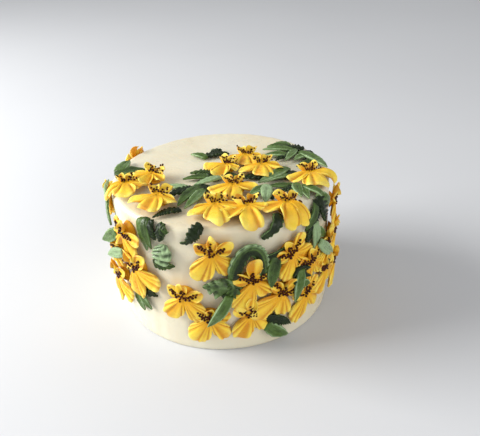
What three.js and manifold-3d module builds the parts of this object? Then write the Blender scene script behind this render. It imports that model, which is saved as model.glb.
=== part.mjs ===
// A round one-tier celebration cake in smooth ivory buttercream. Yellow
// five-petalled flowers with dark piped dots and green piped leaves run over its
// top and down its side. Millimetres, +Z up, the origin in the middle of the flat
// underside, the front of the cake towards -Y.
//
// Every piped piece is drawn flat first, as (u, v, height): on the top u and v are
// X and Y, and on the wall u runs round the cake to the right and v runs up. It is
// then laid on the icing, and bends over the rim where it reaches past it.
import * as THREE from "three";
import { mergeVertices } from "three/addons/utils/BufferGeometryUtils.js";
import { ParametricGeometry } from "three/addons/geometries/ParametricGeometry.js";
import Module from "manifold-3d";

const wasm = await Module();
wasm.setup();

// The iced cake: a 6-inch cake with about 3 mm of icing, 4 inches tall
const CAKE_RADIUS = 79;
const CAKE_HEIGHT = 98.75;
const RIM_ROUNDING = 4;
const FOOT_ROUNDING = 1.5;
const CAKE_SIDES = 56;

// Clearance between pieces that touch
const GAP = 0.3;
const CUT_GAP = 0.42;

// A full-size flower is one lobed skin of rays round its centre. Directions are
// degrees from its lower side, a spread is half a petal's angle, and the notch is
// where a petal meets the next one. On the top three petals lie in front and two
// stand behind them. On the wall two big ones hang and three stand over them
const LAID_PETAL = { tip: 3.8, arch: 0.9, cup: -0.6, rays: [-0.78, 0, 0.78] };
const STANDING_PETAL = { spread: 37, tip: 8.4, arch: -0.6, cup: 0.5, notch: 6, rays: [-0.55, 0.55] };
const HANGING_PETAL = { tip: 3.2, arch: 1.3, cup: -0.9, rays: [-0.78, 0, 0.78] };
const SIDE_PETAL = { spread: 31, tip: 4.4, arch: 0.3, cup: 0.5, notch: 7, rays: [-0.74, 0, 0.74] };
const PETALS = {
  top: [
    { ...LAID_PETAL, direction: -72, spread: 27, reach: 20, notch: 12.5 },
    { ...LAID_PETAL, direction: -8, spread: 37, reach: 21, arch: 1.4, notch: 11 },
    { ...LAID_PETAL, direction: 62, spread: 30, reach: 15.5, notch: 6.5 },
    { ...STANDING_PETAL, direction: 146, reach: 9.2 },
    { ...STANDING_PETAL, direction: 212, reach: 9.7 },
  ],
  wall: [
    { ...HANGING_PETAL, direction: -33, spread: 31, reach: 24, notch: 10.5 },
    { ...HANGING_PETAL, direction: 36, spread: 32, reach: 21, notch: 8 },
    { ...SIDE_PETAL, direction: 112, reach: 15 },
    { direction: 177, spread: 26, reach: 13.5, tip: 6.4, arch: -0.4, cup: 0.6, notch: 6.5, rays: [-0.5, 0.5] },
    { ...SIDE_PETAL, direction: 239, reach: 13 },
  ],
};
const USUAL_LENGTHS = [1, 1, 1, 1, 1];
const PETAL_ROUNDNESS = 0.94;
const PETAL_FULLNESS = 0.3;
const PETAL_THICK = 2.4;
const HEART_HEIGHT = 4.4;
const FLOWER_LAYERS = [
  { out: 0, side: -1 },
  { out: 1, side: -1 },
  { out: 1, side: 1 },
  { out: 0.62, side: 1 },
  { out: 0, side: 1 },
];
const DOT_RADIUS = 1.3;
const DOT_COUNT = 3;
const DOT_ARC_WIDTH = 9;
const DOT_ARC_SAG = 1.6;
const DOT_HEIGHT = 5.1;

// How far petals differ from flower to flower: a share of their reach, and degrees
const REACH_VARIETY = 0.07;
const TURN_VARIETY = 3;
const SEED_STRIDE = 12.9898;
const STEP_STRIDE = 78.233;

// Piped leaves: half thickness on the midrib, rows of facets along them, height of
// the base over the icing, rise of the middle, depth of the ribs and fall of the edges
const LEAF_THICK = { smooth: 1.1, ruffled: 1.3, stroke: 1.4 };
const LEAF_ROWS = { smooth: 3, ruffled: 4, stroke: 4 };
const LEAF_REST = 1.9;
const LEAF_ARCH = 1.2;
const RUFFLE_DEPTH = 0.5;
const LEAF_DROOP = 0.5;
const LEAF_THINNING = 0.5;
const LEAF_COLUMNS = 2;
const BOW_ROWS = 4;

// A leaf's outline is widest near its base; a stroke's keeps its width to the ends
const LEAF_ROOT = 0.2;
const LEAF_FULLNESS = 0.8;
const STROKE_SQUARENESS = 8;
const STROKE_FULLNESS = 0.5;

const IVORY = { color: 0xf1e9d6, roughness: 0.5, metalness: 0 };
const YELLOW = { color: 0xf0b733, roughness: 0.45, metalness: 0 };
const GREEN = { color: 0x4c7a52, roughness: 0.45, metalness: 0 };

const QUARTER_TURN = Math.PI / 2;
const FLAT_RADIUS = CAKE_RADIUS - RIM_ROUNDING;
const RIM_ARC = RIM_ROUNDING * QUARTER_TURN;
const WALL_TOP = CAKE_HEIGHT - RIM_ROUNDING;
const radians = THREE.MathUtils.degToRad;

/** A flower laid on the "top" at [x, y] or on the "wall" at [degrees, height]. It is
 *  turned and sized, and each petal may be longer or shorter than the usual one. */
function bloom(face, at, turn, size = 1, lift = 0, lengths = USUAL_LENGTHS) {
  return { face, at, turn, size, lift, lengths };
}

/** A leaf of one kind from its base to its tip, in the same places as a flower.
 *  It is lifted off the icing, rises towards its tip and may bow to its left. */
function leaf(kind, base, tip, wide, lift = 0, bow = 0, rise = 0) {
  return { kind, base, tip, wide, lift, bow, rise };
}

// The piping, in the order it was laid: a later piece lies over an earlier one
const PIPING = [
  { node: "leaves_top_back", face: "top", leaves: [
    leaf("smooth", [-9, 25], [-22, 33.5], 7),
    leaf("ruffled", [-10.5, 29], [8, 31], 8),
    leaf("ruffled", [-1.5, 30], [-1, 41], 8),
  ] },
  { node: "leaves_top_right_a", face: "top", leaves: [
    leaf("smooth", [55.5, 37], [45.5, 47], 9),
    leaf("smooth", [55, 38], [38, 39.5], 8, 0.4),
    leaf("ruffled", [66, 31], [51, 36], 7.5),
    leaf("smooth", [58, 30], [34, 33.5], 7, 0.8),
    leaf("smooth", [53, 21], [34.5, 23.5], 8, 0.5),
    leaf("ruffled", [58, 28], [42, 14], 7),
    leaf("smooth", [59, 29.5], [48.5, 10], 6.5, 1.2),
  ] },
  { node: "leaves_top_right_b", face: "top", leaves: [
    leaf("ruffled", [66, 27], [68, 8], 8),
    leaf("smooth", [61.5, 25], [77, -3], 8.5, 1),
    leaf("smooth", [66, 18], [55.5, 11], 6.5, 0.6),
    leaf("ruffled", [70, 8], [56, 2], 6.5),
  ] },
  { node: "leaves_top_left", face: "top", leaves: [
    leaf("ruffled", [-4, -5], [-22, 0.5], 7.5),
    leaf("smooth", [-5, -9], [-27, -9.5], 7, 0.3),
    leaf("ruffled", [-3, -14], [-8, 1], 8),
    leaf("smooth", [0, -10], [-19, -21], 7, 0.8),
    leaf("smooth", [13, -11], [-5.5, -5], 7.5),
  ] },
  { node: "leaves_top_right_c", face: "top", leaves: [
    leaf("ruffled", [36, -13], [14, -13], 8),
    leaf("smooth", [49, -1.5], [26, -23], 10, 1),
    leaf("ruffled", [55, -8], [40, -16], 7),
    leaf("smooth", [50, -14], [30, -22.5], 6.5, 0.8),
  ] },
  { node: "leaves_top_right_d", face: "top", leaves: [
    leaf("smooth", [53, -29], [30.5, -27.6], 6.5),
    leaf("smooth", [52, -27], [53.5, -47], 7.5, 0.8),
    leaf("ruffled", [55, -31], [40, -37], 7),
    leaf("smooth", [55, -30], [58, -49], 7, 0.4),
    leaf("smooth", [56, -30], [69.5, -46], 7, 0.8),
  ] },
  { node: "leaves_top_left_front", face: "top", leaves: [
    leaf("ruffled", [-9, -21], [-22, -39], 9),
    leaf("smooth", [-22, -23], [-41, -18.5], 6.5),
    leaf("ruffled", [-17, -24], [-38, -35], 8),
    leaf("smooth", [-14, -22], [-29.5, -50], 8, 0.8),
    leaf("smooth", [-12, -28], [-25, -54], 8, 1),
  ] },
  { node: "leaves_top_left_rim", face: "top", leaves: [
    leaf("ruffled", [-27, -53], [-45, -61], 6.5),
  ] },
  { node: "leaves_back_left", face: "top", leaves: [
    leaf("smooth", [-77, 6], [-55, 11], 12),
    leaf("smooth", [-74, 8], [-68, 27], 9, 0.6),
  ] },
  { node: "leaves_front_rim_a", face: "wall", leaves: [
    leaf("ruffled", [-11.5, 100], [-16, 89], 8),
    leaf("stroke", [-14, 91], [-20.5, 88.5], 2.4, -0.5),
  ] },
  { node: "leaves_front_rim_b", face: "wall", leaves: [
    leaf("stroke", [28.5, 101], [17, 89.5], 6.5),
  ] },
  { node: "leaves_right_rim", face: "wall", leaves: [
    leaf("ruffled", [53, 98], [42, 70], 9),
    leaf("smooth", [53.5, 97], [67, 88.5], 8.5, 0.5),
    leaf("smooth", [50.5, 96], [41, 83.5], 8, 1),
    leaf("ruffled", [54, 99], [60.5, 77], 9, 0.8),
    leaf("smooth", [48.5, 86], [47.5, 60], 8.5, 1.5),
    leaf("smooth", [49.5, 81], [60.5, 66], 6.5, 1.2),
    leaf("smooth", [49, 71], [65.5, 49], 8, 3.8),
  ] },
  { node: "leaves_left_a", face: "wall", leaves: [
    leaf("ruffled", [-36.5, 99], [-33, 87], 7),
    leaf("smooth", [-42.5, 98.5], [-39, 76], 7.5),
    leaf("smooth", [-38.5, 99.5], [-35.8, 79.5], 7.5, 0.6),
  ] },
  { node: "leaves_left_b", face: "wall", leaves: [
    leaf("ruffled", [-29.5, 99], [-31, 86.5], 7),
    leaf("ruffled", [-31.5, 97], [-25.5, 95], 5.5),
  ] },
  { node: "leaves_left_c", face: "wall", leaves: [
    leaf("ruffled", [-36, 69], [-24, 69.5], 8),
    leaf("smooth", [-32.5, 69.5], [-28, 86], 13.5, 1),
  ] },
  { node: "leaves_left_d", face: "wall", leaves: [
    leaf("smooth", [-50.5, 38], [-46.5, 21.5], 7),
    leaf("smooth", [-48.5, 38], [-41, 27], 6.5, 0.4),
    leaf("ruffled", [-49.5, 42], [-36, 40], 8),
  ] },
  { node: "leaves_front_low", face: "wall", leaves: [
    leaf("ruffled", [17.5, 27], [32, 13], 7.5),
    leaf("smooth", [17.5, 20.5], [30, 5.5], 10, 0.6),
  ] },
  { node: "leaves_back_a", face: "wall", leaves: [
    leaf("smooth", [-150, 70], [-141, 50], 8),
    leaf("smooth", [-150, 71], [-157, 52], 8, 0.6),
    leaf("ruffled", [-151, 69], [-166, 66], 8),
  ] },
  { node: "leaves_back_b", face: "wall", leaves: [
    leaf("smooth", [128, 72], [141, 62], 8),
    leaf("smooth", [128, 71], [131, 48], 8, 0.6),
    leaf("ruffled", [127, 70], [118, 55], 8),
  ] },

  { node: "flower_top_back", blooms: [bloom("top", [20.7, 22.5], 0, 0.8)] },
  { node: "flower_top_middle_left", blooms: [bloom("top", [5.2, 5.8], -15, 0.86, 0.8)] },
  { node: "flower_top_middle_right", blooms: [bloom("top", [31, 2.6], 4, 0.9, 1)] },
  { node: "flower_top_right", blooms: [bloom("top", [64.2, -14.2], 14, 0.95, 1)] },
  { node: "flower_top_centre", blooms: [bloom("top", [9.1, -28], 2, 1, 1.5)] },
  { node: "flower_top_front_right", blooms: [bloom("top", [42.7, -58], -3, 1, 1.5, [1.08, 0.7, 0.95, 1, 1.1])] },
  { node: "flower_top_front_left", blooms: [bloom("top", [-3.8, -54], 6, 1.07, 1)] },
  { node: "flower_top_front", blooms: [bloom("top", [17, -59], 15, 1.05, 2, [1.05, 1.04, 0.7, 1, 1])] },
  { node: "flower_top_left_rim", blooms: [bloom("top", [-66.5, -16], 10, 0.95, 1, [0.7, 1, 1, 0.9, 0.8])] },
  { node: "flower_top_left_back", blooms: [bloom("top", [-48.3, -4.8], -22, 0.95, 1.5, [1.05, 0.74, 0.85, 1, 1])] },
  { node: "flower_top_left", blooms: [bloom("top", [-42.6, -38], -12, 1.04, 1.5)] },
  { node: "flower_left_rim", blooms: [bloom("wall", [-97, 84], 10, 0.88, 2.5)] },
  { node: "flower_left_back", blooms: [bloom("wall", [-126, 90], 0, 0.92, 0, [1, 1, 1, 0.8, 1])] },
  { node: "flower_left_c", blooms: [bloom("wall", [-64.6, 40.5], 14, 1, 3)] },
  { node: "flower_left_d", blooms: [bloom("wall", [-66, 65], -8, 0.88, 2.5)] },
  { node: "flower_left_b", blooms: [bloom("wall", [-47, 60], 26, 1.05, 1.5)] },
  { node: "flower_left_a", blooms: [bloom("wall", [-51.8, 85.3], -22, 0.98, 2.5, [0.9, 1, 1, 1.05, 0.85])] },
  { node: "flower_front_c", blooms: [bloom("wall", [-8.5, 31.4], -2, 1)] },
  { node: "flower_front_b", blooms: [bloom("wall", [-20.2, 48], -2, 1, 1)] },
  { node: "flower_front_a", blooms: [bloom("wall", [-5.5, 84], 0, 1, 0, [1, 1, 1, 0.86, 1])] },
  { node: "flower_front_d", blooms: [bloom("wall", [10.8, 33], 4, 1)] },
  { node: "flower_front_e", blooms: [bloom("wall", [12, 60.3], -2, 0.95, 1)] },
  { node: "flower_right_c", blooms: [bloom("wall", [41.5, 33.3], 10, 0.95)] },
  { node: "flower_right_b", blooms: [bloom("wall", [26.3, 44.2], -30, 0.94, 1)] },
  { node: "flower_right_e", blooms: [bloom("wall", [58.5, 42.5], 5, 0.9, 1.5)] },
  { node: "flower_right_h", blooms: [bloom("wall", [74, 34], 0, 0.9, 2)] },
  { node: "flower_right_d", blooms: [bloom("wall", [43.9, 58.7], 12, 0.9, 1)] },
  { node: "flower_right_a", blooms: [bloom("wall", [31.5, 73.6], 28, 0.94, 1)] },
  { node: "flower_right_g", blooms: [bloom("wall", [60, 62], 6, 0.86, 1.2)] },
  { node: "flower_right_f", blooms: [bloom("wall", [75, 59], 0, 0.86, 2.2)] },
  { node: "flower_right_rim", blooms: [bloom("wall", [80, 80], -10, 0.9, 2)] },
  { node: "flowers_back_left", blooms: [
    bloom("wall", [-142, 72], -12, 0.92, 1),
    bloom("wall", [-147, 51], 8, 0.95, 1),
  ] },
  { node: "flowers_back_right", blooms: [
    bloom("wall", [118, 71], 10, 0.95, 1),
    bloom("wall", [124, 51], -8, 0.92, 1),
  ] },

  { node: "leaves_left_rim", face: "wall", leaves: [
    leaf("smooth", [-79.5, 92], [-99, 93], 7, 2.2, 0, 2),
    leaf("smooth", [-80, 92.5], [-71.5, 76], 10, 1.8, 0, 1),
  ] },
  { node: "leaves_left_e", face: "wall", leaves: [
    leaf("smooth", [-58, 82], [-71, 67], 9, 3.5, 0, 8),
  ] },
  { node: "leaves_left_f", face: "wall", leaves: [
    leaf("smooth", [-54, 67.5], [-67.5, 57], 8, 3, 0, 5.5),
  ] },
  { node: "leaves_front_arch", face: "wall", leaves: [
    leaf("stroke", [3, 62.5], [17.3, 60], 7, 3, 25.5),
    leaf("stroke", [15.5, 75], [29, 79], 4.5, 2.4),
    leaf("smooth", [23, 76], [20.3, 51], 9, 3),
  ] },
  { node: "leaves_top_middle", face: "top", leaves: [
    leaf("smooth", [31, -31], [18, -43], 7.5, 2),
    leaf("smooth", [30.5, -30], [28, -56], 8.5, 2.5),
    leaf("stroke", [33.5, -33], [33.5, -50], 4, 1.5),
  ] },
  { node: "leaves_right_fan", face: "wall", leaves: [
    leaf("ruffled", [36, 61], [36, 40], 14, 4),
    leaf("smooth", [36, 59], [32.3, 33.5], 8, 5.2),
    leaf("smooth", [35, 49], [41.5, 43], 6, 5.2),
  ] },
  { node: "leaves_front_middle", face: "wall", leaves: [
    leaf("ruffled", [3.5, 64], [1, 45], 9, 2),
    leaf("ruffled", [4.5, 55], [-11, 58], 16, 2),
    leaf("smooth", [1, 52], [-10, 26.5], 7.5, 4),
  ] },
];

/** Makes a closed solid of a geometry whose seams and poles share their places. */
function solid(geometry) {
  geometry.deleteAttribute("normal");
  geometry.deleteAttribute("uv");
  const merged = mergeVertices(geometry);
  const triangles = [];
  for (let first = 0; first < merged.index.count; first += 3) {
    const corners = [0, 1, 2].map((step) => merged.index.getX(first + step));
    if (new Set(corners).size === corners.length) {
      triangles.push(...corners);
    }
  }
  return new wasm.Manifold(new wasm.Mesh({
    numProp: 3,
    vertProperties: new Float32Array(merged.attributes.position.array),
    triVerts: new Uint32Array(triangles),
  }));
}

/** The cake's outline turned about its axis, everywhere wider by grow. */
function icedCake(grow) {
  const outline = new THREE.Path();
  outline.moveTo(0, -grow);
  outline.lineTo(CAKE_RADIUS - FOOT_ROUNDING + grow, -grow);
  outline.lineTo(CAKE_RADIUS + grow, FOOT_ROUNDING);
  outline.lineTo(CAKE_RADIUS + grow, WALL_TOP);
  outline.absarc(FLAT_RADIUS, WALL_TOP, RIM_ROUNDING + grow, 0, QUARTER_TURN, false);
  outline.lineTo(0, CAKE_HEIGHT + grow);
  const turned = new THREE.LatheGeometry(outline.getPoints(1), CAKE_SIDES);
  return solid(turned.rotateX(QUARTER_TURN));
}

/** Where a point height above the icing lies, past an arc length from the cake's
 *  centre over the top, round the rim and down the wall: [radius, z]. */
function overIcing(arc, height) {
  if (arc <= FLAT_RADIUS) {
    return [arc, CAKE_HEIGHT + height];
  }
  if (arc <= FLAT_RADIUS + RIM_ARC) {
    const bend = (arc - FLAT_RADIUS) / RIM_ROUNDING;
    const reach = RIM_ROUNDING + height;
    return [FLAT_RADIUS + reach * Math.sin(bend), WALL_TOP + reach * Math.cos(bend)];
  }
  return [CAKE_RADIUS + height, WALL_TOP - (arc - FLAT_RADIUS - RIM_ARC)];
}

/** Lays a flat geometry on the cake's top or round its wall. */
function ontoCake(geometry, face) {
  const places = geometry.attributes.position;
  for (let index = 0; index < places.count; index += 1) {
    const [u, v, height] = [places.getX(index), places.getY(index), places.getZ(index)];
    const onTop = face === "top";
    const bearing = onTop ? Math.atan2(u, -v) : u / CAKE_RADIUS;
    const arc = onTop ? Math.hypot(u, v) : FLAT_RADIUS + RIM_ARC + WALL_TOP - v;
    const [radius, z] = overIcing(arc, height);
    places.setXYZ(index, radius * Math.sin(bearing), -radius * Math.cos(bearing), z);
  }
  return geometry;
}

/** A place on a face, [x, y] or [degrees, height], as flat millimetres [u, v]. */
function flatPlace(face, [first, second]) {
  return face === "top" ? [first, second] : [radians(first) * CAKE_RADIUS, second];
}

/** A closed skin round a thin sheet, both faces split into triangles alike.
 *  sheet(along, across) gives [u, v, height, half thickness]. */
function sheetSkin(sheet, rows, columns) {
  const loop = 2 * columns + 2;
  const layers = rows + 2;
  const corner = (loopPart, layerPart, target) => {
    const step = Math.round(loopPart * loop) % loop;
    const layer = Math.round(layerPart * layers);
    const upper = step <= columns;
    const across = upper ? (2 * step) / columns - 1 : 1 - (2 * (step - columns - 1)) / columns;
    const along = (THREE.MathUtils.clamp(layer, 1, layers - 1) - 1) / rows;
    const [u, v, height, half] = sheet(along, across);
    const isEnd = layer === 0 || layer === layers;
    const side = upper ? 1 : -1;
    target.set(u, v, isEnd ? height : height + side * half);
  };
  return new ParametricGeometry(corner, loop, layers);
}

/** A repeatable offset from -1 to 1, so that no two flowers are quite alike. */
function wobble(seed, step) {
  return Math.sin(seed * SEED_STRIDE + step * STEP_STRIDE);
}

/** The rays that a flower's skin runs along: each petal's own, then the notch
 *  half way to the next petal. */
function flowerRays(flower) {
  const seed = flower.at[0] + 2 * flower.at[1];
  const petals = PETALS[flower.face];
  return petals.flatMap((petal, index) => {
    const share = flower.size * flower.lengths[index];
    const reach = petal.reach * share * (1 + REACH_VARIETY * wobble(seed, index));
    const turn = petal.direction + TURN_VARIETY * wobble(seed, index + petals.length);
    const rays = petal.rays.map((across) => {
      const outline = Math.cos(PETAL_ROUNDNESS * across * QUARTER_TURN) ** PETAL_FULLNESS;
      return { petal, across, reach: reach * outline, turn: radians(turn + across * petal.spread) };
    });
    const next = petals[(index + 1) % petals.length];
    const apart = next.direction - next.spread - petal.direction - petal.spread;
    const gap = THREE.MathUtils.euclideanModulo(apart + 180, 360) - 180;
    const notch = radians(petal.direction + petal.spread + gap / 2);
    return [...rays, { petal, across: 1, reach: petal.notch * share, turn: notch }];
  });
}

/** How high a petal's top stands along one of its rays. */
function petalHeight({ petal, across }, out) {
  const slope = HEART_HEIGHT + (petal.tip - HEART_HEIGHT) * out;
  return slope + petal.arch * Math.sin(Math.PI * out) + petal.cup * out * across ** 2;
}

/** A flower's body: petals round a low mound that stands on the icing. */
function flowerBody(flower, grow) {
  const rays = flowerRays(flower);
  const corner = (rayPart, layerPart, target) => {
    const ray = rays[Math.round(rayPart * rays.length) % rays.length];
    const { out, side } = FLOWER_LAYERS[Math.round(layerPart * (FLOWER_LAYERS.length - 1))];
    const top = out === 1 ? petalHeight(ray, out) - PETAL_THICK / 2 : petalHeight(ray, out);
    const height = out === 0 && side < 0 ? GAP - flower.lift : top;
    const radius = out === 0 ? 0 : out * ray.reach + grow;
    target.set(Math.sin(ray.turn) * radius, -Math.cos(ray.turn) * radius, height + side * grow);
  };
  return new ParametricGeometry(corner, rays.length, FLOWER_LAYERS.length - 1);
}

/** One flower's body and dots, drawn flat round its own centre, then laid down. */
function flowerShapes(flower, grow) {
  const shapes = [flowerBody(flower, grow)];
  for (let index = 0; index < DOT_COUNT; index += 1) {
    const side = (2 * index) / (DOT_COUNT - 1) - 1;
    const up = DOT_ARC_SAG * (1 - side ** 2);
    const dot = new THREE.OctahedronGeometry(DOT_RADIUS + grow);
    shapes.push(dot.translate((side * DOT_ARC_WIDTH) / 2, up, DOT_HEIGHT));
  }
  const [u, v] = flatPlace(flower.face, flower.at);
  return shapes.map((shape) => {
    const laid = shape.rotateZ(radians(flower.turn)).translate(u, v, flower.lift);
    return solid(ontoCake(laid, flower.face));
  });
}

/** One leaf: a sheet carried from its base to its tip, along a straight line or,
 *  where it is bowed, half an ellipse. */
function leafShape(face, piped, grow) {
  const base = new THREE.Vector2(...flatPlace(face, piped.base));
  const run = new THREE.Vector2(...flatPlace(face, piped.tip)).sub(base);
  const side = new THREE.Vector2(run.y, -run.x).normalize();
  const isStroke = piped.kind === "stroke";
  const isRuffled = piped.kind === "ruffled";
  const bowed = piped.bow !== 0;
  const rows = LEAF_ROWS[piped.kind] + (bowed ? BOW_ROWS : 0);
  const sheet = (along, across) => {
    const swing = Math.PI * along;
    const travel = bowed ? (1 - Math.cos(swing)) / 2 : along;
    const pace = bowed ? Math.sin(swing) / 2 : 1 / Math.PI;
    const centre = base.clone().addScaledVector(run, travel);
    centre.addScaledVector(side, -piped.bow * Math.sin(swing));
    const heading = run.clone().multiplyScalar(pace).addScaledVector(side, -piped.bow * Math.cos(swing));
    heading.normalize();
    const outline = isStroke
      ? Math.max(0, 1 - (2 * along - 1) ** STROKE_SQUARENESS) ** STROKE_FULLNESS
      : Math.max(0, Math.sin(Math.PI * (LEAF_ROOT + (1 - LEAF_ROOT) * along))) ** LEAF_FULLNESS;
    const half = (piped.wide / 2) * outline + grow;
    const rib = isRuffled ? RUFFLE_DEPTH * (Math.round(along * rows) % 2 === 0 ? 1 : -1) : 0;
    const height = LEAF_REST + piped.lift + LEAF_ARCH * Math.sin(swing)
      + piped.rise * along ** 2 + (rib - LEAF_DROOP) * Math.abs(across);
    const thick = LEAF_THICK[piped.kind] * (1 - Math.abs(across)) * (1 - LEAF_THINNING * along);
    return [
      centre.x + across * half * heading.y,
      centre.y - across * half * heading.x,
      height,
      thick + grow,
    ];
  };
  return solid(ontoCake(sheetSkin(sheet, rows, LEAF_COLUMNS), face));
}

/** A piped piece as one solid, everywhere wider by grow. */
function pipedSolid(piece, grow) {
  const shapes = piece.blooms
    ? piece.blooms.flatMap((flower) => flowerShapes(flower, grow))
    : piece.leaves.map((piped) => leafShape(piece.face, piped, grow));
  return shapes.reduce((whole, shape) => whole.add(shape));
}

/** The largest of a solid's bodies: the scraps that a cut leaves are dropped. */
function largestBody(whole) {
  return whole.decompose().reduce((kept, body) => (body.volume() > kept.volume() ? body : kept));
}

/** A named mesh of a solid with a finish of its own. */
function namedMesh(name, body, finish) {
  const { vertProperties, triVerts } = body.getMesh();
  const geometry = new THREE.BufferGeometry();
  geometry.setAttribute("position", new THREE.BufferAttribute(vertProperties, 3));
  geometry.setIndex(new THREE.BufferAttribute(triVerts, 1));
  const mesh = new THREE.Mesh(geometry, new THREE.MeshStandardMaterial(finish));
  mesh.name = name;
  return mesh;
}

/** Every piped piece, cut clear of the icing and of what was piped after it. */
function pipedMeshes() {
  const icing = icedCake(GAP);
  const grown = PIPING.map((piece) => pipedSolid(piece, CUT_GAP));
  return PIPING.map((piece, index) => {
    const later = grown.slice(index + 1);
    const cut = later.reduce((body, cutter) => body.subtract(cutter), pipedSolid(piece, 0));
    const finish = piece.blooms ? YELLOW : GREEN;
    return namedMesh(piece.node, largestBody(cut.subtract(icing)), finish);
  });
}

const cake = new THREE.Group();
cake.add(namedMesh("iced_cake", icedCake(0), IVORY));
cake.add(...pipedMeshes());

export default cake;
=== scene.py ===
"""A round one-tier celebration cake in smooth ivory buttercream, with piped yellow
flowers, dark dots and green leaves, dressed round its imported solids.

Everything piped is worked out flat first, as (u, v, height) in millimetres: on the
top u and v are X and Y, and on the wall u runs round the cake to the right and v
runs up. It is then laid on the icing, bends over the rim where it reaches past it,
and becomes a mesh in metres.
"""
import logging
from dataclasses import dataclass, field, replace
from enum import Enum

import bpy
import numpy as np
from mathutils import Matrix, Vector


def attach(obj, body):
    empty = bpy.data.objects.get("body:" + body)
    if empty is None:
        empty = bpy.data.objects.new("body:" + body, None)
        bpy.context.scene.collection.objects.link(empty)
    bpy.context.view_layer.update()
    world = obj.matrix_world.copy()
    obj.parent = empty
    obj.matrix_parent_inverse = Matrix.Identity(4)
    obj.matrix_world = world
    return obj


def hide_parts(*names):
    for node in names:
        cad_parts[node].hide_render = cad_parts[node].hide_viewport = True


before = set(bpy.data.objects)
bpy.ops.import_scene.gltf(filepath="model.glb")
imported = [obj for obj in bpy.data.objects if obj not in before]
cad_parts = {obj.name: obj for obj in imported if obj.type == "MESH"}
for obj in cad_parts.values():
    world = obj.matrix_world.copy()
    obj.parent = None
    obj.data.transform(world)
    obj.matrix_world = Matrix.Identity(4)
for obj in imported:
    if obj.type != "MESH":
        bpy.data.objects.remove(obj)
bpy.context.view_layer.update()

Array = np.ndarray
Colour = tuple[float, float, float]
Place = tuple[float, float]
Point = tuple[float, float, float]
Noise = tuple[float, float]
Socket = bpy.types.NodeSocket

LOG = logging.getLogger("cake")
ROOT = "root"
METRES = 0.001
QUARTER_TURN = np.pi / 2


class Face(Enum):
    """The side of the cake that a piece is piped on."""

    TOP = "top"
    WALL = "wall"


TOP, WALL = Face


class LeafKind(Enum):
    """How a leaf was piped: drawn smooth, ruffled by a shaking hand, a stroke or a ridged shell."""

    SMOOTH = "smooth"
    RUFFLED = "ruffled"
    STROKE = "stroke"
    SHELL = "shell"


SMOOTH, RUFFLED, STROKE, SHELL = LeafKind


class Shade(Enum):
    """How pale a green is, from 0 for the darkest to 1 for the palest."""

    DARK = 0.0
    DEEP = 0.3
    MID = 0.6
    PALE = 1.0


DARK, DEEP, MID, PALE = Shade


class Quirk(Enum):
    """What makes petals differ, each with its own step in the row of repeatable offsets."""

    LENGTH = 0
    TURN = 5
    FOLD_BEND = 11
    FOLD_SHIFT = 17
    WAVE = 23
    FOLD_COUNT = 31
    DEPTH = 41
    SIDE = 53
    CURL = 67


def smooth_step(values: Array, low: float, high: float) -> Array:
    """Eases values from 0 at low to 1 at high, with level ends."""
    share = np.clip((values - low) / (high - low), 0.0, 1.0)
    return share * share * (3 - 2 * share)


def ridge(values: Array, middle: float, width: float) -> Array:
    """A bell curve: 1 where the values are in the middle, and nearly 0 two widths away."""
    return np.exp(-(((values - middle) / width) ** 2))


def crowded(start: float, end: float, count: int) -> Array:
    """Numbers from start to end by a sine, so that they crowd together near -1 and 1."""
    return np.sin(QUARTER_TURN * np.linspace(start, end, count))


def linear(red: int, green: int, blue: int) -> Colour:
    """A screen colour of three values up to 255 as light, by the usual sRGB curve."""
    share = np.array([red, green, blue]) / 255
    light = np.where(share <= 0.04045, share / 12.92, ((share + 0.055) / 1.055) ** 2.4)
    return tuple(float(value) for value in light)


def tilted(first: Array, second: Array, degrees: float) -> tuple[Array, Array]:
    """Two directions at right angles, both turned so that the first nears the second."""
    cos, sin = np.cos(np.radians(degrees)), np.sin(np.radians(degrees))
    return cos * first + sin * second, cos * second - sin * first


def quads(index: Array) -> Array:
    """The four-cornered faces between the rows and columns of a grid of vertices."""
    corners = [index[:-1, :-1], index[1:, :-1], index[1:, 1:], index[:-1, 1:]]
    return np.stack(corners, axis=-1).reshape(-1, 4)


@dataclass
class Skin:
    """A closed surface: its vertices, its faces and values carried by its vertices.

    Attributes:
        places: One row of three numbers for each vertex.
        quads: One row of four vertex numbers for each four-cornered face.
        triangles: One row of three vertex numbers for each triangle.
        values: Arrays of one number for each vertex, by name.
    """

    places: Array
    quads: Array
    triangles: Array = field(default_factory=lambda: np.zeros((0, 3), int))
    values: dict[str, Array] = field(default_factory=dict)


def joined(skins: list[Skin]) -> Skin:
    """Several skins as one.

    Args:
        skins: The skins to join, which carry values of the same names.

    Returns:
        One skin with their vertices one after another.
    """
    starts = np.cumsum([0] + [len(skin.places) for skin in skins])
    return Skin(
        np.concatenate([skin.places for skin in skins]),
        np.concatenate([skin.quads + start for skin, start in zip(skins, starts)]),
        np.concatenate([skin.triangles + start for skin, start in zip(skins, starts)]),
        {name: np.concatenate([skin.values[name] for skin in skins]) for name in skins[0].values},
    )


def thin_body(upper: Array, lower: Array, values: dict[str, Array]) -> Skin:
    """Closes an upper and a lower face, grids alike, along their common border.

    Args:
        upper: The upper face as rows by columns by 3.
        lower: The lower face, in the same order.
        values: Grids of one number for each vertex of either face.

    Returns:
        The closed skin, its faces pointing out.
    """
    rows, columns = upper.shape[:2]
    top = np.arange(rows * columns).reshape(rows, columns)
    bottom = top.copy()
    inner = np.arange((rows - 2) * (columns - 2)).reshape(rows - 2, columns - 2)
    bottom[1:-1, 1:-1] = rows * columns + inner
    faces = np.concatenate([quads(top), quads(bottom)[:, ::-1]])
    both = {
        name: np.concatenate([grid.ravel(), grid[1:-1, 1:-1].ravel()])
        for name, grid in values.items()
    }
    places = np.concatenate([upper.reshape(-1, 3), lower[1:-1, 1:-1].reshape(-1, 3)])
    return Skin(places, faces, values=both)


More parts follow.
